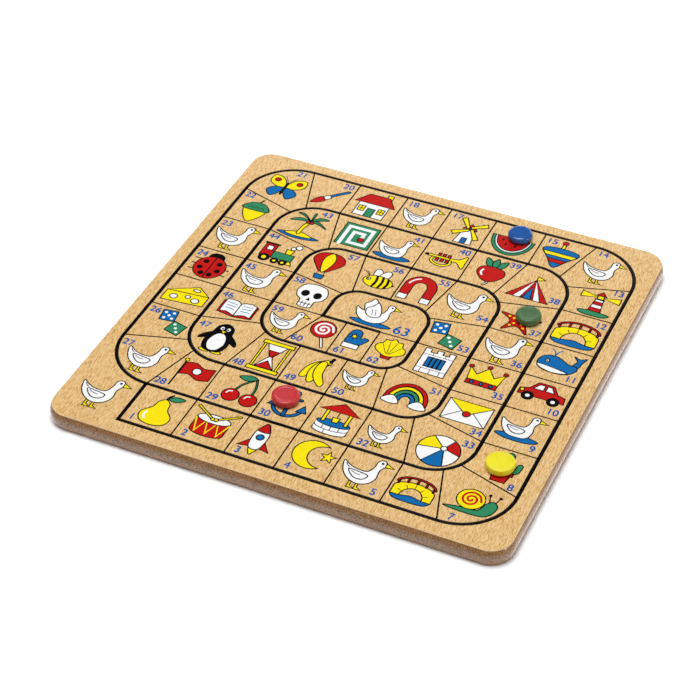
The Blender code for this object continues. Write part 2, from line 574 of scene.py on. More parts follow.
def crown_rings(first, last, steps):
    """Swell and height above mid plane of rings along the crowned edge, between two of its angles."""
    angles = [first + (last - first) * step / steps for step in range(steps + 1)]
    lowest = math.cos(CROWN_HALF_ANGLE)
    return [(CROWN_RADIUS * (math.cos(angle) - lowest), CROWN_RADIUS * math.sin(angle)) for angle in angles]


def core_reach():
    """Angle of the crowned edge at which the core ends."""
    return math.asin((CORE_HIGH.z - MID_PLANE) / CROWN_RADIUS)


def veneer_rings():
    """Rings of a veneer: up the crowned edge from the core and round the sanded arris onto the face."""
    last = math.asin((MID_PLANE - ARRIS_RADIUS) / (CROWN_RADIUS - ARRIS_RADIUS))
    rings = crown_rings(core_reach(), last, VENEER_STEPS)
    swell, height = rings[-1]
    centre_swell = swell - ARRIS_RADIUS * math.cos(last)
    centre_height = height - ARRIS_RADIUS * math.sin(last)
    for step in range(1, ARRIS_STEPS + 1):
        angle = last + (math.pi / 2 - last) * step / ARRIS_STEPS
        swell = centre_swell + ARRIS_RADIUS * math.cos(angle)
        rings.append((swell, centre_height + ARRIS_RADIUS * math.sin(angle)))
    return rings


def lofted_layer(name, rings):
    """A closed layer of the board, lofted through rings of a swell and a height above mid plane."""
    mesh = bmesh.new()
    loops = []
    for swell, height in rings:
        ring = [mesh.verts.new((x, y, MID_PLANE + height)) for x, y in rounded_square(swell)]
        loops.append([mesh.edges.new((ring[i - 1], ring[i])) for i in range(len(ring))])
    for lower, upper in zip(loops, loops[1:]):
        bmesh.ops.bridge_loops(mesh, edges=lower + upper)
    bmesh.ops.holes_fill(mesh, edges=loops[0] + loops[-1])
    bmesh.ops.recalc_face_normals(mesh, faces=mesh.faces)
    data = bpy.data.meshes.new(name)
    mesh.to_mesh(data)
    mesh.free()
    return smooth(data)


class GAMEBOARD_OT_core(bpy.types.Operator):
    """Makes the fibreboard core with its crowned edge"""

    bl_idname = "gameboard.core"
    bl_label = "Core"

    def execute(self, context):
        reach = core_reach()
        mesh = lofted_layer("core_edge", crown_rings(-reach, reach, CROWN_STEPS))
        mesh.materials.append(core_material())
        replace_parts(add_piece("core_edge", mesh, "board"), "core_panel")
        return {"FINISHED"}


class GAMEBOARD_OT_veneers(bpy.types.Operator):
    """Makes the beech veneer on both faces"""

    bl_idname = "gameboard.veneers"
    bl_label = "Veneers"

    def execute(self, context):
        board = settings().board
        upper = veneer_rings()
        lower = [(swell, -height) for swell, height in reversed(upper)]
        # The upper arris takes a painted highlight, the lower one painted shade in the darker side colour
        sheets = {
            "goose_face_veneer": ("upper_veneer", upper, board.arris_wear_and_shading),
            "parcheesi_face_veneer": ("lower_veneer", lower, board.scuffed_side_and_shade),
        }
        for cad_node, (name, rings, edge) in sheets.items():
            mesh = lofted_layer(name, rings)
            mesh.materials.append(beech_material(name, edge))
            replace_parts(add_piece(name, mesh, "board"), cad_node)
        return {"FINISHED"}


# Counters


def shoulder_radius(cad_node):
    """Radius between a counter's rim and its side, from the highest points of the side."""
    low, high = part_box(cad_node)
    side = [v.co.z for v in frame["nodes"][cad_node].data.vertices if high.x - v.co.x < SAME_PLACE]
    return high.z - max(side)


def counter_profile(radius, half_height, dish, shoulder):
    """Radius and height from mid height of a counter's upper half, from its axis out and down to its side."""
    sizes = settings().counters
    rim_outer = radius - shoulder
    slope_outer = rim_outer - sizes.rim
    points = [(0.0, half_height - dish)]
    for step in range(SLOPE_STEPS + 1):
        part = step / SLOPE_STEPS
        rise = (1 - math.cos(math.pi * part)) / 2
        points.append((slope_outer - sizes.dish_slope * (1 - part), half_height - dish * (1 - rise)))
    for step in range(SHOULDER_STEPS + 1):
        angle = math.radians(90 * (1 - step / SHOULDER_STEPS))
        drop = shoulder * (1 - math.sin(angle))
        points.append((rim_outer + shoulder * math.cos(angle), half_height - drop))
    return points


def turned_counter(name, cad_node, dish):
    """A counter turned about its own axis, in its place on the board, with its foot down on the print."""
    low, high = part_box(cad_node)
    low.z = FACE_TOP + FOOT_GAP
    middle = (low + high) / 2
    sizes = (high.x - low.x) / 2, (high.z - low.z) / 2, dish
    upper = counter_profile(*sizes, shoulder_radius(cad_node))
    lower = counter_profile(*sizes, FOOT_SHOULDER)
    chain = upper + [(radius, -height) for radius, height in reversed(lower)]
    profile = bpy.data.meshes.new(name + "_profile")
    profile.from_pydata([(r, 0.0, h) for r, h in chain], [(i, i + 1) for i in range(len(chain) - 1)], [])

    def add_modifier(helper):
        turn = helper.modifiers.new("Turn", "SCREW")
        turn.steps = TURN_STEPS
        turn.render_steps = TURN_STEPS
        turn.use_merge_vertices = True
        turn.merge_threshold = SAME_PLACE
        return turn

    mesh = evaluated_mesh(profile, name, add_modifier)
    mesh.transform(Matrix.Translation(middle))
    return smooth(mesh)


class GAMEBOARD_OT_counters(bpy.types.Operator):
    """Makes the four moulded counters"""

    bl_idname = "gameboard.counters"
    bl_label = "Counters"

    def execute(self, context):
        for body, (roughness, shine, dish) in COUNTER_LOOKS.items():
            cad_node = body + "_counter"
            mesh = turned_counter(body + "_disc", cad_node, dish)
            tint = getattr(settings().counters, body)
            mesh.materials.append(plastic_material(body + "_plastic", tint, roughness, shine))
            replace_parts(add_piece(body + "_disc", mesh, body), cad_node)
        return {"FINISHED"}


# Printed lines and numbers, made by geometry nodes

FIGURE_HEIGHT = 0.73  # a figure's height as a share of the text size


def attribute(tree, name, kind):
    """A named value of each point."""
    return output(tree, "GeometryNodeInputNamedAttribute", {"Name": name}, data_type=kind)


def swept(tree, curve, width, height, caps):
    """A flat bar of some width and height along a curve."""
    upright = output(tree, "GeometryNodeSetCurveNormal", {"Curve": curve}, mode="Z_UP")
    section = output(tree, "GeometryNodeCurvePrimitiveQuadrilateral", {"Width": width, "Height": height})
    parts = {"Curve": upright, "Profile Curve": section, "Fill Caps": caps}
    return output(tree, "GeometryNodeCurveToMesh", parts)


def end_in_ink(tree, geometry, given, made):
    """Ends a tree of geometry nodes in real geometry with its ink."""
    real = output(tree, "GeometryNodeRealizeInstances", {"Geometry": geometry})
    inked = output(tree, "GeometryNodeSetMaterial", {"Geometry": real, "Material": given["Ink"]})
    tree.links.new(inked, made["Geometry"])


def ink_line_tree():
    """Geometry nodes that turn chains of edges into flat ink lines with rounded bends."""
    tree, given, made = new_group(
        "Ink lines",
        "GeometryNodeTree",
        {"Geometry": "Geometry", "Line Width": "Float", "Film": "Float", "Ink": "Material"},
        {"Geometry": "Geometry"},
    )
    path = output(tree, "GeometryNodeMeshToCurve", {"Mesh": given["Geometry"]})
    bends = {"Curve": path, "Count": BEND_STEPS, "Radius": attribute(tree, "bend", "FLOAT")}
    rounded = output(tree, "GeometryNodeFilletCurve", bends, mode="POLY")
    end_in_ink(tree, swept(tree, rounded, given["Line Width"], given["Film"], True), given, made)
    return tree


def number_tree():
    """Geometry nodes that print each point's number as a flat ink figure."""
    tree, given, made = new_group(
        "Ink numbers",
        "GeometryNodeTree",
        {"Geometry": "Geometry", "Film": "Float", "Body": "Float", "Ink": "Material"},
        {"Geometry": "Geometry"},
    )
    fields = {
        "Number": ("INT", attribute(tree, "number", "INT")),
        "Size": ("FLOAT", attribute(tree, "size", "FLOAT")),
        "Place": ("VECTOR", output(tree, "GeometryNodeInputPosition")),
    }
    each = node(tree, "GeometryNodeForeachGeometryElementInput")
    done = node(tree, "GeometryNodeForeachGeometryElementOutput", domain="POINT")
    each.pair_with_output(done)
    for name, (kind, field) in fields.items():
        done.input_items.new(kind, name)
    tree.links.new(given["Geometry"], each.inputs["Geometry"])
    for name, (kind, field) in fields.items():
        tree.links.new(field, each.inputs[name])
    words = output(tree, "FunctionNodeValueToString", {"Value": each.outputs["Number"]}, data_type="INT")
    text = {"String": words, "Size": each.outputs["Size"]}
    figures = output(tree, "GeometryNodeStringToCurves", text, align_x="CENTER", align_y="MIDDLE")
    lines = output(tree, "GeometryNodeRealizeInstances", {"Geometry": figures})
    edging = swept(tree, lines, given["Body"], given["Film"], False)
    flat = output(tree, "GeometryNodeFillCurve", {"Curve": lines}, mode="TRIANGLES")
    height = {"Mesh": flat, "Offset Scale": given["Film"], "Individual": False}
    raised = output(tree, "GeometryNodeExtrudeMesh", height)
    under = output(tree, "GeometryNodeFlipFaces", {"Mesh": flat})
    both = node(tree, "GeometryNodeJoinGeometry")
    for part in (raised, under, edging):
        tree.links.new(part, both.inputs["Geometry"])
    joined = {"Geometry": both.outputs["Geometry"], "Distance": SAME_PLACE}
    closed = output(tree, "GeometryNodeMergeByDistance", joined)
    spot = {"Geometry": closed, "Translation": each.outputs["Place"]}
    tree.links.new(output(tree, "GeometryNodeTransform", spot), done.inputs["Geometry"])
    end_in_ink(tree, done.outputs["Generation_0"], given, made)
    return tree


def goose_face():
    """Places a print on the upper face."""
    return Matrix.Translation((0.0, settings().print.back_shift, FACE_TOP))


def add_print(name, mesh, face):
    """Puts a mesh of ink on a face, as a piece of the board."""
    mesh.transform(face)
    return add_piece(name, mesh, "board")


def give_values(mesh, name, kind, values):
    """Gives each point of a mesh a named value."""
    mesh.attributes.new(name, kind, "POINT").data.foreach_set("value", values)


def printed_lines(name, chains, width, ink, face):
    """A piece of ink lines. Each chain is a list of points with the radius of the bend at each."""
    film = settings().print.film
    points = []
    links = []
    for chain in chains:
        links += [(len(points) + i, len(points) + i + 1) for i in range(len(chain) - 1)]
        points += [(x, y, film / 2) for x, y, bend in chain]
    mesh = bpy.data.meshes.new(name + "_path")
    mesh.from_pydata(points, links, [])
    give_values(mesh, "bend", "FLOAT", [bend for chain in chains for x, y, bend in chain])
    values = {"Line Width": width, "Film": film, "Ink": ink_material(name, ink)}
    return add_print(name, geometry_mesh(mesh, name, shared_group("Ink lines", ink_line_tree), values), face)


def printed_numbers(name, entries, ink, face):
    """A piece of printed numbers. Each entry is a number, its middle and its height."""
    sizes = settings().print
    numbers, across, along, heights = zip(*entries)
    mesh = bpy.data.meshes.new(name + "_places")
    mesh.from_pydata([(x, y, 0.0) for x, y in zip(across, along)], [], [])
    give_values(mesh, "number", "INT", numbers)
    give_values(mesh, "size", "FLOAT", [height / FIGURE_HEIGHT for height in heights])
    values = {"Film": sizes.film, "Body": sizes.number_body, "Ink": ink_material(name, ink)}
    return add_print(name, geometry_mesh(mesh, name, shared_group("Ink numbers", number_tree), values), face)


# Goose game: a spiral of lanes on a grid of eight columns and eight rows

GRID_CELLS = 8
SQUARE_CELLS = 59  # cells that lie in a square of the grid
BEND_RADII = (0.0400, 0.0310, 0.0245, 0.0182)  # of the track line, from the outer turn to the inner one
SLANT = math.radians(11.25)  # a corner cell's dividers meet the inner bend this far from its middle
LAST_ROW_SPLITS = (-0.0510, -0.0177, 0.0085)  # dividers of the short cells under the last one
NUMBER_INSET = (0.0074, 0.0066)  # from the corner of its cell to the middle of a number
# The corner of each cell that holds its number: a and b are in front, a and c on the left
NUMBER_CORNERS = "aaaabbabbbbddccdcccddccccccaaaaadbbbbbdddddccccaaadbbbdddccaaab"
COVERED_CELL = 16  # its number lies under the blue counter
COVERED_INSET = (0.0150, 0.0105)
BARE_CELLS = (6, 19, 25, 31, 42, 52)  # their pictures take the number's place


def grid_lines():
    """Places of the nine lines that bound the columns, or the rows, from left or front."""
    sizes = settings().print
    half = [sizes.centre_cell + sizes.lane * i for i in range(GRID_CELLS // 2)]
    return [-value for value in reversed(half)] + [0.0] + half


def track_chains():
    """The track line from the start corner to the last cell, in stretches that butt at sharp corners."""
    g = grid_lines()
    half_line = settings().print.track_line / 2
    spiral_line = [(g[1] + half_line, g[0], 0.0)]
    for turn, radius in enumerate(BEND_RADII):
        far = GRID_CELLS - turn
        spiral_line += [(g[far], g[turn], radius), (g[far], g[far], radius), (g[turn], g[far], radius)]
        if turn < len(BEND_RADII) - 1:
            spiral_line.append((g[turn], g[turn + 1], radius))
    spiral_line.append((g[3], g[4] - half_line, 0.0))
    first = [(g[1], g[1], 0.0), (g[1], g[0] - half_line, 0.0)]
    last = [(g[3] + half_line, g[4], 0.0), (LAST_ROW_SPLITS[2], g[4], 0.0)]
    return [first, spiral_line, last]


def corner_dividers(g, turn):
    """The slanted dividers on both sides of each corner cell of one lane."""
    radius = BEND_RADII[turn + 1]
    low, high = turn, GRID_CELLS - turn
    near, far = g[low + 1] + radius, g[high - 1] - radius
    corners = [
        ((g[high - 1], g[low]), (g[high], g[low + 1]), (far, near), 315),
        ((g[high], g[high - 1]), (g[high - 1], g[high]), (far, far), 45),
        ((g[low + 1], g[high]), (g[low], g[high - 1]), (near, far), 135),
    ]
    if turn < len(BEND_RADII) - 2:
        corners.append(((g[low], g[low + 2]), (g[low + 1], g[low + 1]), (near, g[low + 2] + radius), 225))
    lines = []
    for first, second, centre, middle in corners:
        for outer, side in ((first, -SLANT), (second, SLANT)):
            lines.append((outer, on_oval(*centre, radius, radius, math.radians(middle) + side)))
    return lines


def divider_lines():
    """All thin lines between neighbouring cells."""
    g = grid_lines()
    lines = []
    for turn in range(len(BEND_RADII) - 1):
        low, high = turn, GRID_CELLS - turn
        lines += [((g[i], g[low]), (g[i], g[low + 1])) for i in range(max(2, turn + 1), high - 1)]
        lines += [((g[high - 1], g[j]), (g[high], g[j])) for j in range(turn + 2, high - 1)]
        lines += [((g[i], g[high - 1]), (g[i], g[high])) for i in range(turn + 2, high - 1)]
        lines += [((g[low], g[j]), (g[low + 1], g[j])) for j in range(turn + 3, high - 1)]
        lines += corner_dividers(g, turn)
    lines += [((g[2], g[4]), (g[3], g[4])), ((LAST_ROW_SPLITS[0], g[3]), (g[3], g[4]))]
    lines += [((split, g[3]), (split, g[4])) for split in LAST_ROW_SPLITS[1:]]
    lines.append(((LAST_ROW_SPLITS[2], g[4]), (g[5], g[4])))
    return lines


def goose_cells():
    """The box of each numbered cell, in order, as left, front, right and back."""
    g = grid_lines()
    column, row = 1, 0
    step = (1, 0)
    taken = {(0, 0)}
    cells = []
    while len(cells) < SQUARE_CELLS:
        cells.append((g[column], g[row], g[column + 1], g[row + 1]))
        taken.add((column, row))
        ahead = (column + step[0], row + step[1])
        if ahead in taken or not (0 <= ahead[0] < GRID_CELLS and 0 <= ahead[1] < GRID_CELLS):
            step = (-step[1], step[0])
        column, row = column + step[0], row + step[1]
    left, front, right, back = cells[-1]
    cells[-1] = (left, front, (LAST_ROW_SPLITS[0] + right) / 2, back)
    splits = (*LAST_ROW_SPLITS, g[5])
    cells += [(left, g[3], right, g[4]) for left, right in zip(splits, splits[1:])]
    cells.append((g[3], g[4], g[5], g[5]))
    return cells


def goose_numbers():
    """Each cell's number with the middle and the height of its figure."""
    sizes = settings().print
    entries = []
    for index, (left, front, right, back) in enumerate(goose_cells()):
        corner = NUMBER_CORNERS[index]
        inset = COVERED_INSET if index + 1 == COVERED_CELL else NUMBER_INSET
        x = left + inset[0] if corner in "ac" else right - inset[0]
        y = front + inset[1] if corner in "ab" else back - inset[1]
        entries.append((index + 1, x, y, sizes.number_height))
    last, x, y, height = entries.pop()
    entries.append((last, x - NUMBER_INSET[0], y, sizes.last_number_height))
    return [entry for entry in entries if entry[0] not in BARE_CELLS]


class GAMEBOARD_OT_goose_track(bpy.types.Operator):
    """Prints the spiral track, its dividers and its numbers on the upper face"""

    bl_idname = "gameboard.goose_track"
    bl_label = "Goose track"

    def execute(self, context):
        sizes = settings().print
        face = goose_face()
        printed_lines("goose_track_line", track_chains(), sizes.track_line, sizes.black, face)
        dividers = [[(*start, 0.0), (*end, 0.0)] for start, end in divider_lines()]
        printed_lines("goose_track_dividers", dividers, sizes.divider, sizes.black, face)
        printed_numbers("goose_track_numbers", goose_numbers(), sizes.number, face)
        return {"FINISHED"}


# Flat drawing: loops of points that bound an area, counted in halves of a picture's width


def on_oval(x, y, width, height, angle):
    """The point of an upright ellipse at an angle."""
    return x + width * math.cos(angle), y + height * math.sin(angle)


def turned(points, degrees, centre):
    """Points turned about a centre, from places relative to it."""
    angle = math.radians(degrees)
    cosine, sine = math.cos(angle), math.sin(angle)
    return [(centre[0] + x * cosine - y * sine, centre[1] + x * sine + y * cosine) for x, y in points]


def mirrored(*half):
    """An outline from one half of it and the mirror image of that half."""
    return [*half, *((-x, y) for x, y in reversed(half) if x)]


def box_loop(left, front, right, back):
    """Corners of a box."""
    return [(left, front), (right, front), (right, back), (left, back)]


def oval(x, y, width, height=None, turn=0.0):
    """An ellipse, turned by some degrees."""
    height = width if height is None else height
    angles = [2 * math.pi * step / OVAL_STEPS for step in range(OVAL_STEPS)]
    return turned([on_oval(0.0, 0.0, width, height, angle) for angle in angles], turn, (x, y))


def arc(x, y, width, height, start, end):
    """Part of an ellipse, from one angle in degrees to another."""
    angles = [math.radians(start + (end - start) * step / ARC_STEPS) for step in range(ARC_STEPS + 1)]
    return [on_oval(x, y, width, height, angle) for angle in angles]


def spiral(x, y, start, end, turns):
    """A spiral from one radius to another."""
    steps = round(turns * ARC_STEPS)
    points = []
    for step in range(steps + 1):
        radius = start + (end - start) * step / steps
        points.append(on_oval(x, y, radius, radius, 2 * math.pi * turns * step / steps))
    return points


def star(x, y, outer, inner, count):
    """A star with its first point upwards."""
    points = []
    for step in range(2 * count):
        radius = inner if step % 2 else outer
        points.append(on_oval(x, y, radius, radius, math.pi / 2 + math.pi * step / count))
    return points


def through(points, closed):
    """A smooth curve through points."""
    count = len(points)
    spans = count if closed else count - 1
    curve = []
    for i in range(spans):
        if closed:
            near = [points[(i + k) % count] for k in (-1, 0, 1, 2)]
        else:
            near = [points[min(max(i + k, 0), count - 1)] for k in (-1, 0, 1, 2)]
        for step in range(CURVE_STEPS):
            t = step / CURVE_STEPS
            weights = (
                (-t + 2 * t * t - t**3) / 2,
                (2 - 5 * t * t + 3 * t**3) / 2,
                (t + 4 * t * t - 3 * t**3) / 2,
                (t**3 - t * t) / 2,
            )
            curve.append(tuple(sum(w * p[axis] for w, p in zip(weights, near)) for axis in (0, 1)))
    return curve if closed else curve + [points[-1]]


def offset(points, distance, closed):
    """Points moved to the right of the way that they run."""
    count = len(points)
    moved = []
    for i, here in enumerate(points):
        before = points[i - 1] if closed or i else here
        after = points[(i + 1) % count] if closed or i < count - 1 else here
        ways = [Vector(here) - Vector(before), Vector(after) - Vector(here)]
        sides = [Vector((way.y, -way.x)).normalized() for way in ways if way.length > 0]
        middle = sum(sides, Vector((0.0, 0.0))).normalized()
        moved.append(tuple(Vector(here) + middle * distance / max(middle.dot(sides[0]), MITRE_LIMIT)))
    return moved


def strip(points, width):
    """The area of a line of some width with round ends."""
    right = offset(points, width / 2, False)
    left = offset(points, -width / 2, False)
    loop = list(right)
    for end, start, middle in ((right[-1], left[-1], points[-1]), (left[0], right[0], points[0])):
        first = math.atan2(end[1] - middle[1], end[0] - middle[0])
        cap = [first + math.pi * step / CAP_STEPS for step in range(1, CAP_STEPS)]
        loop += [on_oval(*middle, width / 2, width / 2, angle) for angle in cap]
        if start is left[-1]:
            loop += reversed(left)
    return loop


def signed_area(loop):
    """Area of a loop, positive if it runs anticlockwise."""
    return sum(a[0] * b[1] - b[0] * a[1] for a, b in zip(loop, loop[1:] + loop[:1])) / 2


class InkSheet:
    """The ink films of one printed face, gathered ink by ink."""

    def __init__(self):
        self.points = {ink: [] for ink in INKS}
        self.faces = {ink: [] for ink in INKS}

    def add(self, ink, loops, lids, height):
        """A closed film from the face up to a height, with its loops' walls and its lids' faces."""
        points = self.points[ink]
        faces = self.faces[ink]
        base = len(points)
        flat = [point for loop in loops for point in loop]
        points += [(x, y, 0.0) for x, y in flat] + [(x, y, height) for x, y in flat]
        top = base + len(flat)
        faces += [[top + i for i in lid] for lid in lids]
        faces += [[base + i for i in reversed(lid)] for lid in lids]
        start = 0
        for loop in loops:
            count = len(loop)
            for i in range(count):
                a, b = start + i, start + (i + 1) % count
                faces.append([base + a, base + b, top + b, top + a])
            start += count

    def fill(self, ink, loop, height):
        """A film over the inside of a loop."""
        lids = []
        for lid in tessellate_polygon([[Vector((x, y, 0.0)) for x, y in loop]]):
            upright = signed_area([loop[i] for i in lid]) > 0
            lids.append(lid if upright else tuple(reversed(lid)))
        self.add(ink, [loop], lids, height)

    def band(self, ink, loop, width, height):
        """A film along a loop."""
        outer = offset(loop, width / 2, True)
        inner = offset(loop, -width / 2, True)
        count = len(loop)
        lids = []
        for i in range(count):
            j = (i + 1) % count
            lids.append((i, j, 2 * count - 1 - j, 2 * count - 1 - i))
        self.add(ink, [outer, inner[::-1]], lids, height)

    def edged(self, ink, loop, width, height):
        """A film over the inside of a loop, with a black line along it on top."""
        self.fill(ink, loop, height)
        self.band("black", loop, width, height + settings().print.film)

    def print_on(self, name, face):
        """Makes one piece for each ink that is used."""
        for ink in INKS:
            if self.points[ink]:
                mesh = bpy.data.meshes.new(f"{name}_{ink}")
                mesh.from_pydata(self.points[ink], [], self.faces[ink])
                mesh.materials.append(ink_material(mesh.name, getattr(settings().print, ink)))
                add_print(mesh.name, mesh, face)


# Pictures in the cells of the goose game

PICTURE_HALF = 0.0172  # greatest half width of a picture
PICTURE_GAP = 0.0014  # least way from a picture to a printed line or number
PICTURE_SHRINK = 0.97  # a picture is made smaller in such steps until its cell has a place for it
PICTURE_STEP = 0.0012  # a picture is moved in such steps
PICTURE_MOVES = 6  # how many steps it may be moved each way
START_HALF = 0.0175
START_INSET = (0.0165, 0.0190)


class Picture:
    """One printed picture, drawn within one half width of its middle. Later shapes lie on earlier ones."""

    def __init__(self, draw):
        self.shapes = []
        draw(self)

    def poly(self, ink, *points, line=True):
        """A shape with straight sides, edged with a black line."""
        steps = [(Vector(point) - Vector(points[i - 1])).length for i, point in enumerate(points)]
        loop = [point for point, step in zip(points, steps) if step > SAME_PLACE]
        if signed_area(loop) < 0:
            loop.reverse()
        self.shapes.append((ink, loop, line and ink != "black"))

    def curve(self, ink, *points, line=True):
        """A shape with a smooth outline through points."""
        self.poly(ink, *through(points, True), line=line)

    def oval(self, ink, *sizes, line=True):
        """An ellipse."""
        self.poly(ink, *oval(*sizes), line=line)

    def box(self, ink, left, low, right, high, line=True):
        """An upright rectangle."""
        self.poly(ink, *box_loop(left, low, right, high), line=line)

    def taper(self, ink, first, last):
        """A shape between two level lines, each given by its right end. The last one may be a point."""
        self.poly(ink, (-first[0], first[1]), first, last, (-last[0], last[1]))

    def mound(self, ink, edge, rise, foot):
        """A low mound or pool, given by the edge and the foot of one side and the height of its middle."""
        self.curve(ink, (-edge[0], edge[1]), (0.0, rise), edge, foot, (-foot[0], foot[1]))

    def rod(self, ink, width, *points, line=True):
        """A line with straight stretches."""
        self.poly(ink, *strip(points, width), line=line)

    def bow(self, ink, width, *points, line=True):
        """A smoothly bent line."""
        self.poly(ink, *strip(through(points, False), width), line=line)

    def border(self):
        """Points along the edges of all shapes, the outermost ones first."""
        points = []
        for ink, loop, line in self.shapes:
            for start, end in zip(loop, loop[1:] + loop[:1]):
                steps = math.ceil(math.dist(start, end) * PICTURE_HALF / PICTURE_STEP)
                points += [Vector(start).lerp(end, step / steps) for step in range(steps)]
        return sorted(points, key=lambda point: -point.length)

    def fitted(self, middle, taken):
        """Place and half width of the picture in a cell: as big as it fits and as near the cell's middle."""
        border = self.border()
        steps = range(-PICTURE_MOVES, PICTURE_MOVES + 1)
        moves = [Vector((x, y)) * PICTURE_STEP for x in steps for y in steps]
        moves.sort(key=lambda move: move.length)
        half_width = PICTURE_HALF
        while True:
            for move in moves:
                spot = middle + move
                edge = (spot + point * half_width for point in border)
                if all(taken.find(point.to_3d())[2] > PICTURE_GAP for point in edge):
                    return spot, half_width
            half_width *= PICTURE_SHRINK

    def print_on(self, sheet, spot, half_width):
        """Puts the picture's films on a sheet."""
        sizes = settings().print
        height = 0.0
        for ink, loop, line in self.shapes:
            spots = [tuple(spot + Vector(point) * half_width) for point in loop]
            height += sizes.film
            if line:
                sheet.edged(ink, spots, sizes.outline, height)
                height += sizes.film
            else:
                sheet.fill(ink, spots, height)


# One function for each picture

FINE_LINE = 0.035


def goose_figure(p, drop, breast):
    """A goose without its legs, lowered by some way, with the points of its own breast."""

    def lowered(*points):
        return [(x, y - drop) for x, y in points]

    back = lowered(
        (0.68, 0.76), (0.5, 0.96), (0.29, 0.84), (0.26, 0.5), (0.1, 0.16), (-0.34, 0.14), (-0.66, 0.24),
        (-0.98, 0.42),
    )
    p.curve("white", *back, *breast, *lowered((0.52, 0.36)))
    p.poly("yellow", *lowered((0.63, 0.86), (1.0, 0.68), (0.64, 0.62)))
    p.oval("black", 0.48, 0.79 - drop, 0.06)
    wing = lowered((0.2, -0.06), (-0.2, 0.02), (-0.62, 0.04), (-0.5, -0.18), (-0.24, -0.36), (0.08, -0.32))
    p.curve("white", *wing)
    p.bow("black", FINE_LINE, *lowered((-0.1, -0.13), (-0.32, -0.11), (-0.5, -0.02)))


def goose(p):
    for x in (-0.3, 0.0):
        leg = ((x - 0.05, -0.45), (x + 0.05, -0.45), (x + 0.05, -0.8), (x + 0.26, -0.93), (x - 0.05, -0.93))
        p.poly("yellow", *leg)
    goose_figure(p, 0.0, ((-0.82, -0.12), (-0.48, -0.48), (-0.05, -0.62), (0.36, -0.46), (0.55, -0.1)))
    p.bow("black", FINE_LINE, (-0.62, 0.12), (-0.74, 0.18), (-0.84, 0.3))


def pond_goose(p):
    p.mound("blue", (0.98, -0.62), -0.44, (0.5, -0.86))
    goose_figure(p, 0.06, ((-0.84, -0.18), (-0.5, -0.58), (-0.05, -0.66), (0.4, -0.56), (0.56, -0.16)))


def landing_goose(p):
    p.mound("blue", (-0.98, -0.66), -0.52, (-0.5, -0.86))
    p.curve(
        "white", (-0.02, 0.12), (-0.1, 0.62), (-0.42, 0.98), (-0.58, 0.7), (-0.74, 0.52), (-0.66, 0.24),
        (-0.5, -0.02),
    )
    p.curve(
        "white", (0.7, 0.66), (0.54, 0.84), (0.34, 0.74), (0.34, 0.42), (0.2, 0.12), (-0.3, 0.06),
        (-0.7, 0.06), (-1.0, 0.22), (-0.84, -0.28), (-0.45, -0.62), (0.12, -0.66), (0.52, -0.42),
        (0.62, -0.06), (0.57, 0.32),
    )
    p.poly("yellow", (0.66, 0.76), (1.0, 0.58), (0.66, 0.52))
    p.oval("black", 0.52, 0.68, 0.05)
    p.curve(
        "white", (0.22, -0.1), (0.12, 0.36), (-0.16, 0.76), (-0.34, 0.44), (-0.54, 0.22),
        (-0.44, -0.14), (-0.1, -0.3),
    )
    for x in (0.0, -0.16):
        p.bow("black", 0.03, (x, -0.12), (x - 0.06, 0.1), (x - 0.12, 0.26))


def pear(p):
    p.bow("black", 0.1, (0.0, 0.5), (0.02, 0.76), (0.14, 0.95))
    p.curve("green", (0.06, 0.68), (0.3, 0.92), (0.72, 0.88), (0.42, 0.62))
    p.curve(
        "yellow",
        *mirrored((0.0, 0.62), (0.25, 0.42), (0.34, 0.05), (0.66, -0.36), (0.52, -0.8), (0.0, -0.95)),
    )
    p.bow("white", 0.09, (-0.42, -0.28), (-0.46, -0.5), (-0.36, -0.68), line=False)


def drum(p):
    p.poly("red", *arc(0.0, -0.5, 0.75, 0.26, 180, 360), (0.75, 0.3), (-0.75, 0.3))
    zigzag = [(0.25 * i - 0.75, 0.18 if i % 2 == 0 else -0.6) for i in range(7)]
    p.rod("yellow", 0.07, *zigzag, line=False)
    p.oval("white", 0.0, 0.3, 0.75, 0.26)
    for side in (-1, 1):
        p.rod("yellow", 0.1, (side * 0.95, 0.86), (side * 0.08, 0.3))
        p.oval("yellow", side * 0.08, 0.3, 0.09)


def rocket(p):
    p.curve("yellow", (-0.18, -0.55), (0.18, -0.55), (0.12, -0.8), (0.0, -1.0), (-0.12, -0.8))
    for side in (-1, 1):
        p.poly("red", (side * 0.26, 0.0), (side * 0.72, -0.62), (side * 0.2, -0.52))
    p.curve("white", *mirrored((0.0, 1.0), (0.26, 0.58), (0.34, 0.1), (0.22, -0.58)))
    p.curve("red", *mirrored((0.0, 1.0), (0.17, 0.76), (0.27, 0.5), (0.0, 0.44)))
    p.oval("blue", 0.0, 0.12, 0.17)


def cactus(p):
    p.bow("green", 0.25, (0.0, -0.02), (-0.5, 0.0), (-0.6, 0.46))
    p.bow("green", 0.25, (0.0, -0.18), (0.52, -0.14), (0.62, 0.28))
    p.rod("green", 0.42, (0.0, -0.5), (0.0, 0.74))
    p.taper("red", (0.44, -0.38), (0.32, -0.98))
    p.box("red", -0.52, -0.5, 0.52, -0.28)
    for x, y in ((-0.08, 0.7), (0.08, 0.45), (-0.08, 0.2), (0.08, -0.05)):
        p.rod("black", 0.04, (x - 0.05, y), (x + 0.05, y + 0.05))


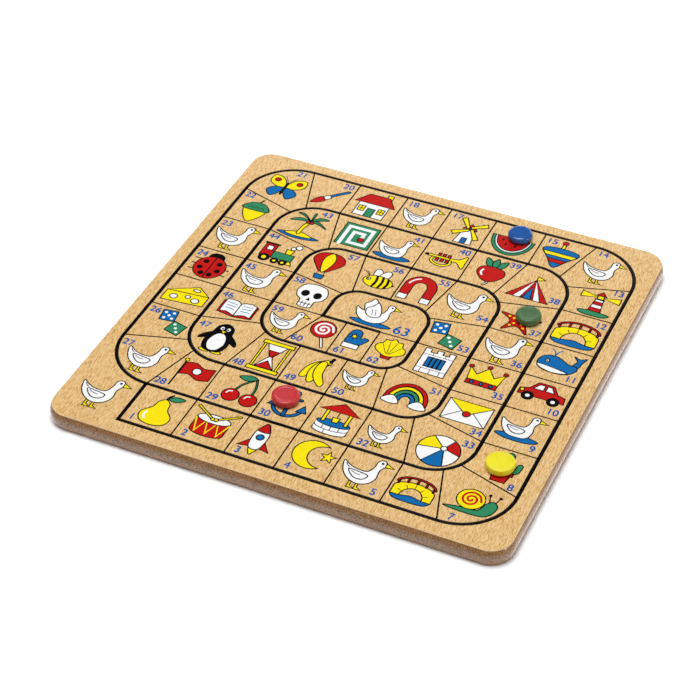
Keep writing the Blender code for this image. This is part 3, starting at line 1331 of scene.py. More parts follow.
def bridge(p):
    p.curve(
        "blue", (-1.0, -0.5), (-0.5, -0.6), (0.0, -0.5), (0.5, -0.6), (1.0, -0.5), (0.7, -0.88),
        (-0.7, -0.88),
    )
    wall = [
        (-1.0, -0.62), *arc(0.0, -0.1, 1.0, 0.46, 180, 0), (1.0, -0.62),
        *arc(0.0, -0.62, 0.56, 0.62, 0, 180),
    ]
    p.poly("yellow", *wall)
    for degrees in (25, 57, 90, 123, 155):
        angle = math.radians(degrees)
        inner, outer = (on_oval(0.0, -0.62, *size, angle) for size in ((0.56, 0.62), (0.8, 0.86)))
        p.rod("black", FINE_LINE, inner, outer)
    for x, y in ((-0.86, 0.13), (-0.45, 0.31), (0.0, 0.36), (0.45, 0.31), (0.86, 0.13)):
        p.rod("red", 0.08, (x, y), (x, y + 0.3))
    p.bow("red", 0.1, *arc(0.0, 0.2, 0.95, 0.48, 170, 10)[::4])


def snail(p):
    for x, y, reach in ((0.6, 0.1, -0.1), (0.8, 0.1, 0.12)):
        p.rod("black", 0.05, (x, y), (x + reach, y + 0.42))
        p.oval("black", x + reach, y + 0.42, 0.07)
    p.curve(
        "green", (-1.0, -0.64), (-0.4, -0.5), (0.3, -0.42), (0.48, -0.02), (0.72, 0.22), (0.97, 0.02),
        (0.86, -0.45), (0.5, -0.7), (-0.4, -0.72),
    )
    p.oval("yellow", -0.12, 0.04, 0.56, 0.54)
    p.bow("red", 0.09, *spiral(-0.12, 0.04, 0.42, 0.05, 2)[::3], line=False)


def moon(p):
    p.poly("yellow", *arc(-0.15, 0.0, 0.85, 0.85, 50, 310), *arc(0.33, 0.0, 0.655, 0.655, 276, 84))
    p.poly("yellow", *star(0.52, 0.1, 0.36, 0.15, 5))


def car(p):
    p.poly(
        "red", (-0.98, -0.38), (-0.98, -0.04), (-0.62, 0.08), (-0.34, 0.52), (0.32, 0.52), (0.6, 0.08),
        (0.94, 0.0), (0.98, -0.38),
    )
    p.poly("white", (-0.46, 0.1), (-0.26, 0.41), (-0.04, 0.41), (-0.04, 0.1))
    p.poly("white", (0.06, 0.1), (0.06, 0.41), (0.25, 0.41), (0.44, 0.1))
    p.oval("yellow", -0.86, -0.12, 0.09)
    for x in (-0.54, 0.54):
        p.oval("black", x, -0.4, 0.27)
        p.oval("white", x, -0.4, 0.12)


def anchor(p):
    p.bow("blue", 0.11, *arc(0.0, 0.76, 0.16, 0.16, -80, 260)[::2])
    p.rod("blue", 0.15, (-0.42, 0.42), (0.42, 0.42))
    p.bow("blue", 0.16, *arc(0.0, -0.08, 0.72, 0.72, 195, 345)[::3])
    p.rod("blue", 0.16, (0.0, 0.56), (0.0, -0.78))
    for side in (-1, 1):
        p.poly("blue", (side * 0.95, -0.32), (side * 0.72, 0.14), (side * 0.46, -0.34))


def lighthouse(p):
    for side in (-1, 1):
        p.poly("yellow", (side * 0.12, 0.54), (side * 1.0, 0.8), (side * 1.0, 0.32))
    p.taper("white", (0.34, -0.75), (0.2, 0.34))
    for low, high in ((-0.62, -0.34), (-0.08, 0.16)):
        wide, narrow = (0.34 - 0.128 * (level + 0.75) for level in (low, high))
        p.taper("red", (wide, low), (narrow, high))
    p.box("black", -0.28, 0.32, 0.28, 0.4)
    p.box("yellow", -0.16, 0.4, 0.16, 0.66)
    p.taper("red", (0.26, 0.66), (0.0, 0.97))
    p.mound("green", (0.78, -0.72), -0.62, (0.5, -0.96))


def spinning_top(p):
    p.rod("yellow", 0.15, (0.0, 0.3), (0.0, 0.8))
    p.oval("red", 0.0, 0.86, 0.13)
    p.curve(
        "blue", (-0.84, 0.2), (-0.42, 0.42), (0.42, 0.42), (0.84, 0.2), (0.45, -0.38), (0.0, -0.97),
        (-0.45, -0.38),
    )
    p.taper("yellow", (0.78, 0.08), (0.62, -0.16))
    p.taper("red", (0.46, -0.38), (0.28, -0.62))


def melon(p):
    for ink, size in (("green", 1.0), ("white", 0.85), ("red", 0.75)):
        p.poly(ink, *arc(0.0, 0.42, 0.98 * size, 1.25 * size, 180, 360))
    for x, y in ((-0.42, 0.18), (0.0, 0.2), (0.42, 0.18), (-0.22, -0.12), (0.22, -0.12)):
        p.oval("black", x, y, 0.05, 0.09)


def windmill(p):
    p.taper("white", (0.42, -0.94), (0.27, 0.18))
    p.taper("red", (0.36, 0.16), (0.0, 0.58))
    p.box("blue", -0.12, -0.94, 0.12, -0.52)
    sail = ((0.06, 0.0), (0.86, 0.0), (0.86, 0.26), (0.06, 0.14))
    for quarter in range(4):
        p.poly("yellow", *turned(sail, 28 + 90 * quarter, (0.0, 0.2)))
    p.oval("black", 0.0, 0.2, 0.09)


def inn(p):
    p.box("yellow", 0.34, 0.4, 0.6, 0.95)
    p.box("white", -0.72, -0.92, 0.72, 0.12)
    p.taper("red", (0.95, 0.06), (0.5, 0.74))
    p.box("green", -0.18, -0.92, 0.18, -0.3)
    for x in (-0.47, 0.47):
        p.box("yellow", x - 0.15, -0.58, x + 0.15, -0.2)
        p.rod("black", FINE_LINE, (x, -0.58), (x, -0.2))
        p.rod("black", FINE_LINE, (x - 0.15, -0.39), (x + 0.15, -0.39))


def brush(p):
    p.bow("blue", 0.2, (0.86, 0.86), (0.42, 0.46), (-0.02, 0.02))
    p.curve("red", (-0.14, -0.4), (-0.4, -0.74), (-0.95, -0.95), (-0.74, -0.4), (-0.4, -0.14))
    p.poly("white", (0.12, -0.1), (-0.1, 0.12), (-0.42, -0.16), (-0.16, -0.42))


def butterfly(p):
    for side in (-1, 1):
        p.curve(
            "yellow", (0.0, 0.05), (side * 0.3, 0.7), (side * 0.85, 0.86), (side * 0.92, 0.3),
            (side * 0.45, -0.02),
        )
        p.curve(
            "blue", (0.0, -0.05), (side * 0.5, -0.08), (side * 0.8, -0.45), (side * 0.45, -0.86),
            (side * 0.1, -0.45),
        )
        p.oval("red", side * 0.6, 0.5, 0.15)
        p.bow("black", 0.04, (0.0, 0.35), (side * 0.14, 0.65), (side * 0.3, 0.88))
    p.rod("black", 0.15, (0.0, 0.36), (0.0, -0.58))


def acorn(p):
    p.bow("black", 0.1, (0.0, 0.6), (0.02, 0.78), (0.1, 0.95))
    p.curve("yellow", (-0.52, 0.15), (0.52, 0.15), (0.5, -0.34), (0.0, -0.95), (-0.5, -0.34))
    p.curve("green", (-0.72, 0.1), (-0.48, 0.54), (0.0, 0.7), (0.48, 0.54), (0.72, 0.1), (0.0, 0.02))
    for x in (-0.3, 0.0, 0.3):
        p.bow("black", FINE_LINE, (x - 0.12, 0.2), (x, 0.32), (x + 0.12, 0.2))


def ladybird(p):
    for y in (-0.45, -0.05, 0.32):
        p.rod("black", 0.06, (-0.88, y), (0.88, y))
    p.oval("black", 0.0, 0.62, 0.38, 0.3)
    p.oval("red", 0.0, -0.12, 0.72, 0.76)
    p.rod("black", 0.05, (0.0, 0.62), (0.0, -0.86))
    for side in (-1, 1):
        for x, y in ((0.32, 0.22), (0.42, -0.24), (0.2, -0.58)):
            p.oval("black", side * x, y, 0.13)


def cheese(p):
    p.poly("yellow", (-0.95, -0.02), (0.3, 0.62), (0.95, 0.15))
    p.poly("yellow", (-0.95, -0.02), (0.95, 0.15), (0.95, -0.52), (-0.95, -0.7))
    for x, y, width, height in (
        (-0.5, -0.34, 0.17, 0.15), (0.1, -0.16, 0.12, 0.1), (0.5, -0.3, 0.18, 0.15),
    ):
        p.oval("white", x, y, width, height)
    p.oval("white", 0.28, 0.36, 0.17, 0.08)


def die(p, ink, pip_ink, x, y, pips, turn):
    p.poly(ink, *turned(box_loop(-0.42, -0.42, 0.42, 0.42), turn, (x, y)))
    for spot_x, spot_y in turned(pips, turn, (x, y)):
        p.oval(pip_ink, spot_x, spot_y, 0.085, line=False)


def dice(p):
    die(
        p, "blue", "white", -0.4, 0.4,
        ((-0.22, -0.22), (0.22, 0.22), (-0.22, 0.22), (0.22, -0.22), (0.0, 0.0)), 8,
    )
    die(p, "green", "white", 0.4, -0.4, ((-0.22, 0.22), (0.0, 0.0), (0.22, -0.22)), -14)


def flag(p):
    p.oval("yellow", -0.62, 0.92, 0.1)
    p.rod("black", 0.09, (-0.62, -0.95), (-0.62, 0.82))
    hem = through([(-0.58, 0.74), (-0.1, 0.86), (0.4, 0.64), (0.95, 0.76)], False)
    p.poly("red", *hem, *((x, y - 0.84) for x, y in reversed(hem)))
    p.oval("white", 0.18, 0.33, 0.22)


def whale(p):
    for reach in (-0.24, 0.2):
        p.bow(
            "blue", 0.06, (-0.36, 0.36), (-0.36 + reach * 0.3, 0.68), (-0.36 + reach, 0.86), line=False,
        )
    p.curve(
        "blue", (0.52, 0.0), (0.66, 0.44), (0.44, 0.72), (0.74, 0.64), (1.0, 0.76), (0.9, 0.42),
        (0.8, 0.0),
    )
    p.curve(
        "blue", (-0.98, -0.12), (-0.74, 0.34), (-0.2, 0.4), (0.35, 0.12), (0.76, 0.06), (0.8, -0.22),
        (0.5, -0.56), (-0.1, -0.68), (-0.75, -0.55),
    )
    p.curve("white", (-0.92, -0.3), (-0.2, -0.34), (0.5, -0.5), (-0.1, -0.67), (-0.72, -0.54))
    p.oval("white", -0.58, 0.02, 0.1)
    p.oval("black", -0.59, 0.02, 0.05)


def cherries(p):
    p.bow("green", 0.08, (-0.42, -0.3), (-0.22, 0.3), (0.25, 0.86))
    p.bow("green", 0.08, (0.46, -0.36), (0.44, 0.3), (0.25, 0.86))
    p.curve("green", (0.25, 0.86), (-0.1, 0.99), (-0.6, 0.78), (-0.16, 0.6))
    for x, y in ((-0.44, -0.5), (0.46, -0.56)):
        p.oval("red", x, y, 0.4)
        p.bow(
            "white", 0.07, (x - 0.22, y + 0.06), (x - 0.16, y + 0.2), (x - 0.02, y + 0.25), line=False,
        )


def well(p):
    p.oval("blue", 0.0, -0.26, 0.72, 0.2)
    for x in (-0.56, 0.42):
        p.box("yellow", x, -0.26, x + 0.14, 0.5)
    p.rod("black", 0.04, (0.0, 0.44), (0.0, 0.06))
    p.taper("yellow", (0.16, 0.08), (0.11, -0.2))
    p.taper("red", (0.88, 0.42), (0.0, 0.97))
    p.poly("white", *arc(0.0, -0.26, 0.72, 0.2, 180, 360), *arc(0.0, -0.74, 0.72, 0.2, 360, 180))
    p.bow("black", FINE_LINE, *arc(0.0, -0.5, 0.72, 0.2, 180, 360)[::4])
    for x, low, high in (
        (-0.35, -0.68, -0.45), (0.0, -0.46, -0.7), (0.35, -0.68, -0.45), (-0.2, -0.92, -0.7),
    ):
        p.rod("black", FINE_LINE, (x, low), (x, high))


def beach_ball(p):
    for sector, ink in enumerate(("red", "white", "yellow", "white", "blue", "white")):
        p.poly(ink, (0.16, 0.2), *arc(0.0, 0.0, 0.88, 0.88, 60 * sector, 60 * sector + 60))
    p.oval("white", 0.16, 0.2, 0.13)


def letter(p):
    p.box("white", -0.94, -0.62, 0.94, 0.62)
    for side in (-1, 1):
        p.rod("black", 0.04, (side * 0.94, -0.62), (side * 0.24, 0.06))
    p.taper("yellow", (0.94, 0.62), (0.0, -0.14))
    p.oval("red", 0.0, -0.08, 0.16)


def crown(p):
    p.poly("yellow", *mirrored((-0.8, -0.4), (-0.92, 0.5), (-0.45, 0.05), (0.0, 0.66)))
    for x, y in ((-0.9, 0.54), (0.0, 0.74), (0.9, 0.54)):
        p.oval("red", x, y, 0.12)
    p.box("red", -0.8, -0.74, 0.8, -0.4)
    for x in (-0.5, 0.0, 0.5):
        p.oval("blue", x, -0.57, 0.1)


def starfish(p):
    p.curve("red", *star(0.0, -0.06, 1.0, 0.42, 5))
    for angle in range(90, 450, 72):
        for reach in (0.3, 0.54):
            p.oval("yellow", *on_oval(0.0, -0.06, reach, reach, math.radians(angle)), 0.06, line=False)
    p.oval("yellow", 0.0, -0.06, 0.08, line=False)


def tent(p):
    p.poly("yellow", (0.0, 0.66), (0.0, 0.98), (0.36, 0.82))
    p.taper("white", (0.98, -0.72), (0.0, 0.68))
    for left, right in ((-0.98, -0.64), (0.64, 0.98), (-0.3, 0.3)):
        p.poly("red", (left, -0.72), (right, -0.72), (0.0, 0.68))
    p.taper("blue", (0.2, -0.72), (0.0, 0.16))


def radish(p):
    p.bow("white", 0.09, (0.0, -0.56), (0.06, -0.8), (-0.04, -0.98))
    for side in (-1, 1):
        p.curve("green", (0.0, 0.26), (side * 0.42, 0.46), (side * 0.5, 0.92), (side * 0.16, 0.7))
    p.curve("green", (0.0, 0.26), (0.17, 0.62), (0.0, 1.0), (-0.17, 0.62))
    p.curve("red", *mirrored((0.0, 0.36), (0.5, 0.26), (0.64, -0.14), (0.36, -0.56), (0.0, -0.74)))
    p.bow("white", 0.09, (-0.4, 0.04), (-0.44, -0.16), (-0.34, -0.34), line=False)


def horn(p):
    p.bow(
        "yellow", 0.13, (-0.5, 0.22), (-0.6, -0.12), (-0.3, -0.34), (0.06, -0.34), (0.32, -0.12),
        (0.24, 0.2),
    )
    for x in (-0.34, -0.1, 0.14):
        p.box("red", x - 0.07, -0.1, x + 0.07, 0.52)
    p.rod("yellow", 0.14, (-0.92, 0.22), (0.36, 0.22))
    p.curve(
        "yellow", (0.26, 0.3), (0.62, 0.36), (0.96, 0.7), (0.99, 0.22), (0.96, -0.26), (0.62, 0.08),
        (0.26, 0.14),
    )
    p.rod("black", 0.12, (-0.96, 0.22), (-0.86, 0.22))


def palm(p):
    p.mound("blue", (1.0, -0.78), -0.66, (0.4, -0.98))
    p.curve("yellow", (-0.66, -0.76), (0.0, -0.52), (0.66, -0.76), (0.0, -0.86))
    p.bow("yellow", 0.17, (-0.06, -0.62), (-0.02, -0.1), (0.12, 0.36))
    for tip_x, tip_y in ((-0.82, 0.16), (-0.66, 0.78), (0.14, 1.0), (0.86, 0.74), (0.96, 0.1)):
        x, y = (0.12 + tip_x) / 2, (0.36 + tip_y) / 2
        p.curve("green", (0.12, 0.36), (x - 0.06, y + 0.2), (tip_x, tip_y), (x + 0.04, y + 0.02))
    for x in (0.04, 0.22):
        p.oval("red", x, 0.26, 0.09)


def engine(p):
    for x, y, size in ((0.56, 0.66, 0.13), (0.8, 0.84, 0.16)):
        p.oval("white", x, y, size)
    p.poly("yellow", (0.36, 0.06), (0.62, 0.06), (0.7, 0.5), (0.28, 0.5))
    p.box("green", -0.3, -0.4, 0.86, 0.12)
    p.box("red", -0.86, -0.4, -0.24, 0.62)
    p.box("black", -0.96, 0.6, -0.14, 0.72)
    p.box("white", -0.7, 0.12, -0.38, 0.46)
    p.poly("yellow", (0.7, -0.4), (0.86, -0.4), (1.0, -0.66), (0.7, -0.66))
    for x, size in ((-0.54, 0.3), (0.06, 0.22), (0.5, 0.22)):
        p.oval("black", x, size - 0.8, size)
        p.oval("yellow", x, size - 0.8, size * 0.5)


def maze(p):
    p.box("green", -0.84, -0.84, 0.76, 0.76)
    walk = (
        (-0.62, -0.82), (-0.62, 0.52), (0.52, 0.52), (0.52, -0.6), (-0.28, -0.6), (-0.28, 0.18),
        (0.2, 0.18),
    )
    p.rod("white", 0.17, *walk, (0.2, -0.26), line=False)
    p.oval("red", 0.2, -0.26, 0.14)


def book(p):
    p.poly("red", (-0.98, -0.56), (-0.98, 0.46), (0.0, 0.34), (0.98, 0.46), (0.98, -0.56), (0.0, -0.7))
    for side in (-1, 1):
        page = (
            (0.0, -0.6), (0.0, 0.42), (0.2, 0.56), (0.55, 0.62), (0.88, 0.52), (0.88, -0.48),
            (0.5, -0.4),
        )
        p.poly("white", *((side * x, y) for x, y in page))
        for y in (0.3, 0.08, -0.14):
            p.rod("blue", 0.05, (side * 0.2, y), (side * 0.7, y + 0.04), line=False)


def penguin(p):
    for side in (-1, 1):
        p.oval("yellow", side * 0.26, -0.88, 0.25, 0.1)
        p.curve("black", (side * 0.4, 0.34), (side * 0.8, 0.0), (side * 0.86, -0.3), (side * 0.5, -0.1))
    p.curve("black", *mirrored((0.0, 0.97), (0.36, 0.76), (0.46, 0.3), (0.58, -0.36), (0.34, -0.86)))
    p.curve("white", *mirrored((0.0, 0.34), (0.28, 0.12), (0.38, -0.36), (0.18, -0.78)))
    for side in (-1, 1):
        p.oval("white", side * 0.14, 0.62, 0.11, 0.13)
        p.oval("black", side * 0.12, 0.61, 0.05)
    p.taper("yellow", (0.15, 0.5), (0.0, 0.3))


def hourglass(p):
    for x in (-0.56, 0.56):
        p.rod("yellow", 0.1, (x, -0.76), (x, 0.76))
    p.poly(
        "white", (-0.44, 0.76), (0.44, 0.76), (0.07, 0.0), (0.44, -0.76), (-0.44, -0.76), (-0.07, 0.0),
    )
    p.taper("red", (0.26, 0.38), (0.04, 0.0))
    p.taper("red", (0.4, -0.74), (0.0, -0.26))
    for y in (-0.86, 0.86):
        p.box("yellow", -0.7, y - 0.1, 0.7, y + 0.1)


def bananas(p):
    bunch = (
        (-0.1, 0.8), (-0.46, 0.42), (-0.62, -0.1), (-0.5, -0.72), (-0.26, -0.62), (-0.2, 0.0),
        (0.1, 0.64),
    )
    for degrees, shift in ((-18, -0.12), (6, 0.06), (32, 0.26)):
        p.curve("yellow", *turned(bunch, degrees, (shift, 0.0)))
    p.rod("black", 0.16, (0.1, 0.74), (0.16, 0.95))


def rainbow(p):
    for ink, size in (("red", 0.86), ("yellow", 0.68), ("green", 0.5), ("blue", 0.32)):
        p.bow(ink, 0.18, *arc(0.0, -0.46, size, size * 1.2, 0, 180)[::2])
    for side in (-1, 1):
        p.curve(
            "white", (side * 0.22, -0.7), (side * 0.34, -0.44), (side * 0.58, -0.28),
            (side * 0.84, -0.42), (side * 1.0, -0.68), (side * 0.6, -0.8),
        )


def prison(p):
    teeth = [(-0.8, 0.9), (-0.48, 0.9), (-0.48, 0.66), (-0.16, 0.66), (-0.16, 0.9)]
    p.poly("white", *mirrored((-0.8, -0.95), *teeth))
    for y in (0.46, -0.6):
        p.rod("black", FINE_LINE, (-0.8, y), (0.8, y))
    for x, low, high in (
        (-0.3, 0.46, 0.66), (0.35, 0.46, 0.66), (-0.5, -0.95, -0.6), (0.0, -0.95, -0.6),
        (0.5, -0.95, -0.6),
    ):
        p.rod("black", FINE_LINE, (x, low), (x, high))
    p.box("blue", -0.46, -0.44, 0.46, 0.3)
    for x in (-0.23, 0.0, 0.23):
        p.rod("black", 0.09, (x, -0.44), (x, 0.3))


def magnet(p):
    legs = [(-0.76, -0.56), (-0.76, 0.06), *arc(0.0, 0.06, 0.76, 0.82, 180, 0), (0.76, -0.56)]
    p.poly("red", *legs, (0.32, -0.56), *arc(0.0, 0.06, 0.32, 0.38, 0, 180), (-0.32, -0.56))
    for x in (-0.76, 0.32):
        p.box("white", x, -0.92, x + 0.44, -0.56)
    p.bow("white", 0.08, *arc(0.0, 0.06, 0.58, 0.64, 165, 110)[::4], line=False)


def bee(p):
    for x, lean in ((-0.14, 14), (0.24, -20)):
        p.oval("white", x, 0.46, 0.24, 0.44, lean)
    p.poly("black", (0.7, 0.06), (1.0, -0.14), (0.7, -0.26))
    p.oval("yellow", 0.06, -0.12, 0.78, 0.48)
    for x in (-0.1, 0.22, 0.52):
        reach = 0.48 * math.sqrt(1 - ((x - 0.06) / 0.78) ** 2) - 0.05
        p.bow("black", 0.14, (x, -0.12 + reach), (x + 0.06, -0.12), (x, -0.12 - reach))
    p.oval("white", -0.48, -0.02, 0.1)
    p.oval("black", -0.5, -0.02, 0.05)
    for reach in (-0.2, 0.0):
        p.bow("black", 0.04, (-0.52, 0.18), (-0.62 + reach * 0.5, 0.42), (-0.74 + reach, 0.52))


def air_balloon(p):
    p.curve("red", *mirrored((0.0, 0.98), (0.55, 0.82), (0.74, 0.36), (0.42, -0.14), (0.16, -0.42)))
    p.curve("yellow", *mirrored((0.0, 0.97), (0.25, 0.62), (0.25, 0.14), (0.07, -0.42)))
    for side in (-1, 1):
        p.rod("black", FINE_LINE, (side * 0.14, -0.44), (side * 0.19, -0.68))
    p.taper("blue", (0.24, -0.66), (0.18, -0.96))


def skull(p):
    p.curve(
        "white",
        *mirrored(
            (0.0, 0.94), (0.55, 0.8), (0.78, 0.3), (0.64, -0.14), (0.38, -0.34), (0.34, -0.78),
            (0.0, -0.88),
        ),
    )
    for side in (-1, 1):
        p.oval("black", side * 0.32, 0.16, 0.21, 0.24)
    p.poly("black", (0.0, -0.08), (0.11, -0.32), (-0.11, -0.32))
    p.rod("black", 0.04, (-0.34, -0.58), (0.34, -0.58))
    for x in (-0.18, 0.0, 0.18):
        p.rod("black", 0.04, (x, -0.46), (x, -0.8))


def lollipop(p):
    p.rod("white", 0.13, (-0.06, -0.1), (0.34, -0.96))
    p.oval("red", -0.1, 0.3, 0.64)
    p.bow("white", 0.12, *spiral(-0.1, 0.3, 0.52, 0.04, 2)[::3], line=False)


def mitten(p):
    p.curve(
        "blue", (-0.5, -0.46), (-0.56, 0.2), (-0.44, 0.76), (-0.1, 0.94), (0.22, 0.72), (0.3, 0.2),
        (0.56, 0.34), (0.82, 0.24), (0.7, -0.06), (0.38, -0.46),
    )
    p.box("white", -0.6, -0.9, 0.48, -0.46)
    p.poly("yellow", *star(-0.14, 0.26, 0.28, 0.12, 6))


def shell(p):
    p.taper("red", (0.34, -0.56), (0.24, -0.92))
    edge = []
    for i in range(11):
        size = (0.95, 1.42) if i % 2 else (0.84, 1.26)
        edge.append(on_oval(0.0, -0.6, *size, math.radians(165 - 15 * i)))
    p.curve("yellow", (-0.24, -0.66), *edge, (0.24, -0.66))
    for x, y in edge[2:-2:2]:
        p.rod("black", FINE_LINE, (x * 0.16, -0.5), (x * 0.92, y * 0.92 - 0.05))


PICTURES = (  # from the first cell to the last
    pear, drum, rocket, moon, goose, bridge, snail, cactus, pond_goose, car, whale, bridge, lighthouse,
    goose, spinning_top, melon, windmill, goose, inn, brush, butterfly, acorn, goose, ladybird, cheese,
    dice, goose, flag, cherries, anchor, well, goose, beach_ball, letter, crown, goose, starfish, tent,
    radish, horn, pond_goose, maze, palm, engine, goose, book, penguin, hourglass, bananas, goose,
    rainbow, prison, dice, goose, magnet, bee, air_balloon, skull, goose, lollipop, mitten, shell,
    landing_goose,
)


def taken_places(pieces):
    """Finder of the nearest point of what is already printed on the upper face."""
    face = goose_face().inverted()
    places = []
    for piece in pieces:
        points = [face @ vertex.co for vertex in piece.data.vertices]
        for edge in piece.data.edges:
            start, end = (points[i] for i in edge.vertices)
            steps = math.ceil((end - start).length / PICTURE_STEP)
            places += [start.lerp(end, step / steps) for step in range(steps)]
    finder = KDTree(len(places))
    for i, place in enumerate(places):
        finder.insert((place.x, place.y, 0.0), i)
    finder.balance()
    return finder


class GAMEBOARD_OT_goose_pictures(bpy.types.Operator):
    """Prints a picture in each cell of the goose game and one in the starting corner"""

    bl_idname = "gameboard.goose_pictures"
    bl_label = "Goose pictures"

    def execute(self, context):
        sheet = InkSheet()
        taken = taken_places([item for item in context.scene.objects if item.name.startswith("goose_track")])
        for draw, (left, front, right, back) in zip(PICTURES, goose_cells()):
            picture = Picture(draw)
            picture.print_on(sheet, *picture.fitted(Vector((left + right, front + back)) / 2, taken))
        corner = grid_lines()[0]
        Picture(goose).print_on(sheet, Vector([corner + inset for inset in START_INSET]), START_HALF)
        sheet.print_on("goose_picture", goose_face())
        return {"FINISHED"}


# Parcheesi: a cross of four arms with three lanes each, and a home in each corner

FIELD_HALF = 0.158
FIELD_CORNER = 0.024
FIELD_LANE = 0.028
FIELD_CROSS = 1.5 * FIELD_LANE  # half width of an arm
ARM_ROWS = 8
ARM_DEPTH = (FIELD_HALF - FIELD_CROSS) / ARM_ROWS  # of one row
ARM_INKS = ("yellow", "blue", "red", "green")  # from the front arm on, anticlockwise
ARM_STEP = 17  # numbers from one arm to the next
TRACK_LENGTH = 68
SAFE_CELLS = (5, 63, 68)  # of the front arm
START_CELL = 5
SAFE_RING = 0.0060
HOME_RADIUS = 0.046
SPOT_RADIUS = 0.0125
SPOT_SPREAD = 0.0185


def parcheesi_face(films):
    """Places a print over some ink films of the underside, as it reads on the board turned over sideways."""
    return Matrix.Rotation(math.pi, 4, "Y") @ Matrix.Translation((0.0, 0.0, films * settings().print.film))


def front_arm_cells():
    """The numbered cells of the front arm: each one's number and its box as left, front, right and back."""
    cells = {TRACK_LENGTH: (-FIELD_LANE / 2, -FIELD_HALF, FIELD_LANE / 2, ARM_DEPTH - FIELD_HALF)}
    for row in range(ARM_ROWS):
        front = row * ARM_DEPTH - FIELD_HALF
        cells[row + 1] = (FIELD_LANE / 2, front, FIELD_CROSS, front + ARM_DEPTH)
        cells[TRACK_LENGTH - 1 - row] = (-FIELD_CROSS, front, -FIELD_LANE / 2, front + ARM_DEPTH)
    return cells


def front_arm_lines():
    """Lines of the front arm and half of a diagonal of the middle square."""
    lines = [((-FIELD_CROSS, -FIELD_CROSS), (0.0, 0.0))]
    for x in (-FIELD_CROSS, -FIELD_LANE / 2, FIELD_LANE / 2, FIELD_CROSS):
        lines.append(((x, -FIELD_HALF), (x, -FIELD_CROSS)))
    for row in range(1, ARM_ROWS + 1):
        y = row * ARM_DEPTH - FIELD_HALF
        lines.append(((-FIELD_CROSS, y), (FIELD_CROSS, y)))
    return lines


def on_arm(points, arm):
    """Points of the front arm carried round to an arm."""
    return turned(points, 90 * arm, (0.0, 0.0))


def print_arm(sheet, arm, ink):
    """Puts the areas of an arm and its home on a sheet, and gives the places of the arm's numbers."""
    sizes = settings().print
    cells = front_arm_cells()
    lane = box_loop(-FIELD_LANE / 2, cells[TRACK_LENGTH][3], FIELD_LANE / 2, -FIELD_CROSS)
    middle = [(-FIELD_CROSS, -FIELD_CROSS), (FIELD_CROSS, -FIELD_CROSS), (0.0, 0.0)]
    for loop in (lane, box_loop(*cells[START_CELL]), middle):
        sheet.fill(ink, on_arm(loop, arm), sizes.film)
    home = (FIELD_HALF + FIELD_CROSS) / 2
    sheet.edged(ink, on_arm(oval(home, -home, HOME_RADIUS), arm), sizes.track_line / 2, sizes.film)
    for x in (-SPOT_SPREAD, SPOT_SPREAD):
        for y in (-SPOT_SPREAD, SPOT_SPREAD):
            spot = on_arm(oval(home + x, y - home, SPOT_RADIUS), arm)
            sheet.edged("white", spot, sizes.divider, 2 * sizes.film)
    entries = []
    for number, (left, front, right, back) in cells.items():
        place = on_arm([((left + right) / 2, (front + back) / 2)], arm)[0]
        if number in SAFE_CELLS:
            sheet.edged("white", oval(*place, SAFE_RING), sizes.divider, 2 * sizes.film)
        entries.append(((number + ARM_STEP * arm - 1) % TRACK_LENGTH + 1, *place, sizes.number_height))
    return entries


class GAMEBOARD_OT_parcheesi(bpy.types.Operator):
    """Prints the cross-shaped game on the underside"""

    bl_idname = "gameboard.parcheesi"
    bl_label = "Parcheesi"

    def execute(self, context):
        sizes = settings().print
        sheet = InkSheet()
        entries = []
        lines = []
        for arm, ink in enumerate(ARM_INKS):
            entries += print_arm(sheet, arm, ink)
            lines += [[(*point, 0.0) for point in on_arm(line, arm)] for line in front_arm_lines()]
        sheet.print_on("parcheesi_area", parcheesi_face(0))
        side = [(0.0, -FIELD_HALF, 0.0)]
        for x, y in ((1, -1), (1, 1), (-1, 1), (-1, -1)):
            side.append((x * FIELD_HALF, y * FIELD_HALF, FIELD_CORNER))
        border = [side + side[:1]]
        printed_lines("parcheesi_lines", lines, sizes.divider, sizes.black, parcheesi_face(1))
        printed_lines("parcheesi_border", border, sizes.track_line, sizes.black, parcheesi_face(1))
        printed_numbers("parcheesi_numbers", entries, sizes.number, parcheesi_face(3))
        return {"FINISHED"}


# Stage

FLOOR_SIDE = 12.0
FLOOR_DROP = 0.0001  # room for the ink under the board
FLOOR_WHITE = (0.86, 0.86, 0.86)  # of the floor as it lights the board
FLOOR_SEEN = (1.22, 1.26, 1.30)  # of the floor as the camera sees it, so that only the near shadow shows
FLOOR_GLOSS = (2.10, 0.30)  # of the floor as a gloss mirrors it, near the board and farther off; near the board this is a painted reflection, lighter than the lit floor, for the board's glossy edge
FLOOR_NEAR = (0.010, 0.060)  # ways from the board's edge to the near and the farther floor
FLOOR_PLAIN = (0.20, 0.45)  # ways from the board's edge between which the camera sees it turn plain white
SENSOR_WIDTH = 36.0
LAMPS = {  # each lamp's place and size
    "main": ((-0.15, -0.15, 2.40), (1.8, 1.8)),
    "front": ((0.60, -2.20, 0.60), (1.4, 0.6)),
    "side": ((2.30, 0.10, 0.12), (1.4, 0.2)),
    "rear": ((-0.10, 1.15, 0.38), (1.2, 0.2)),
}


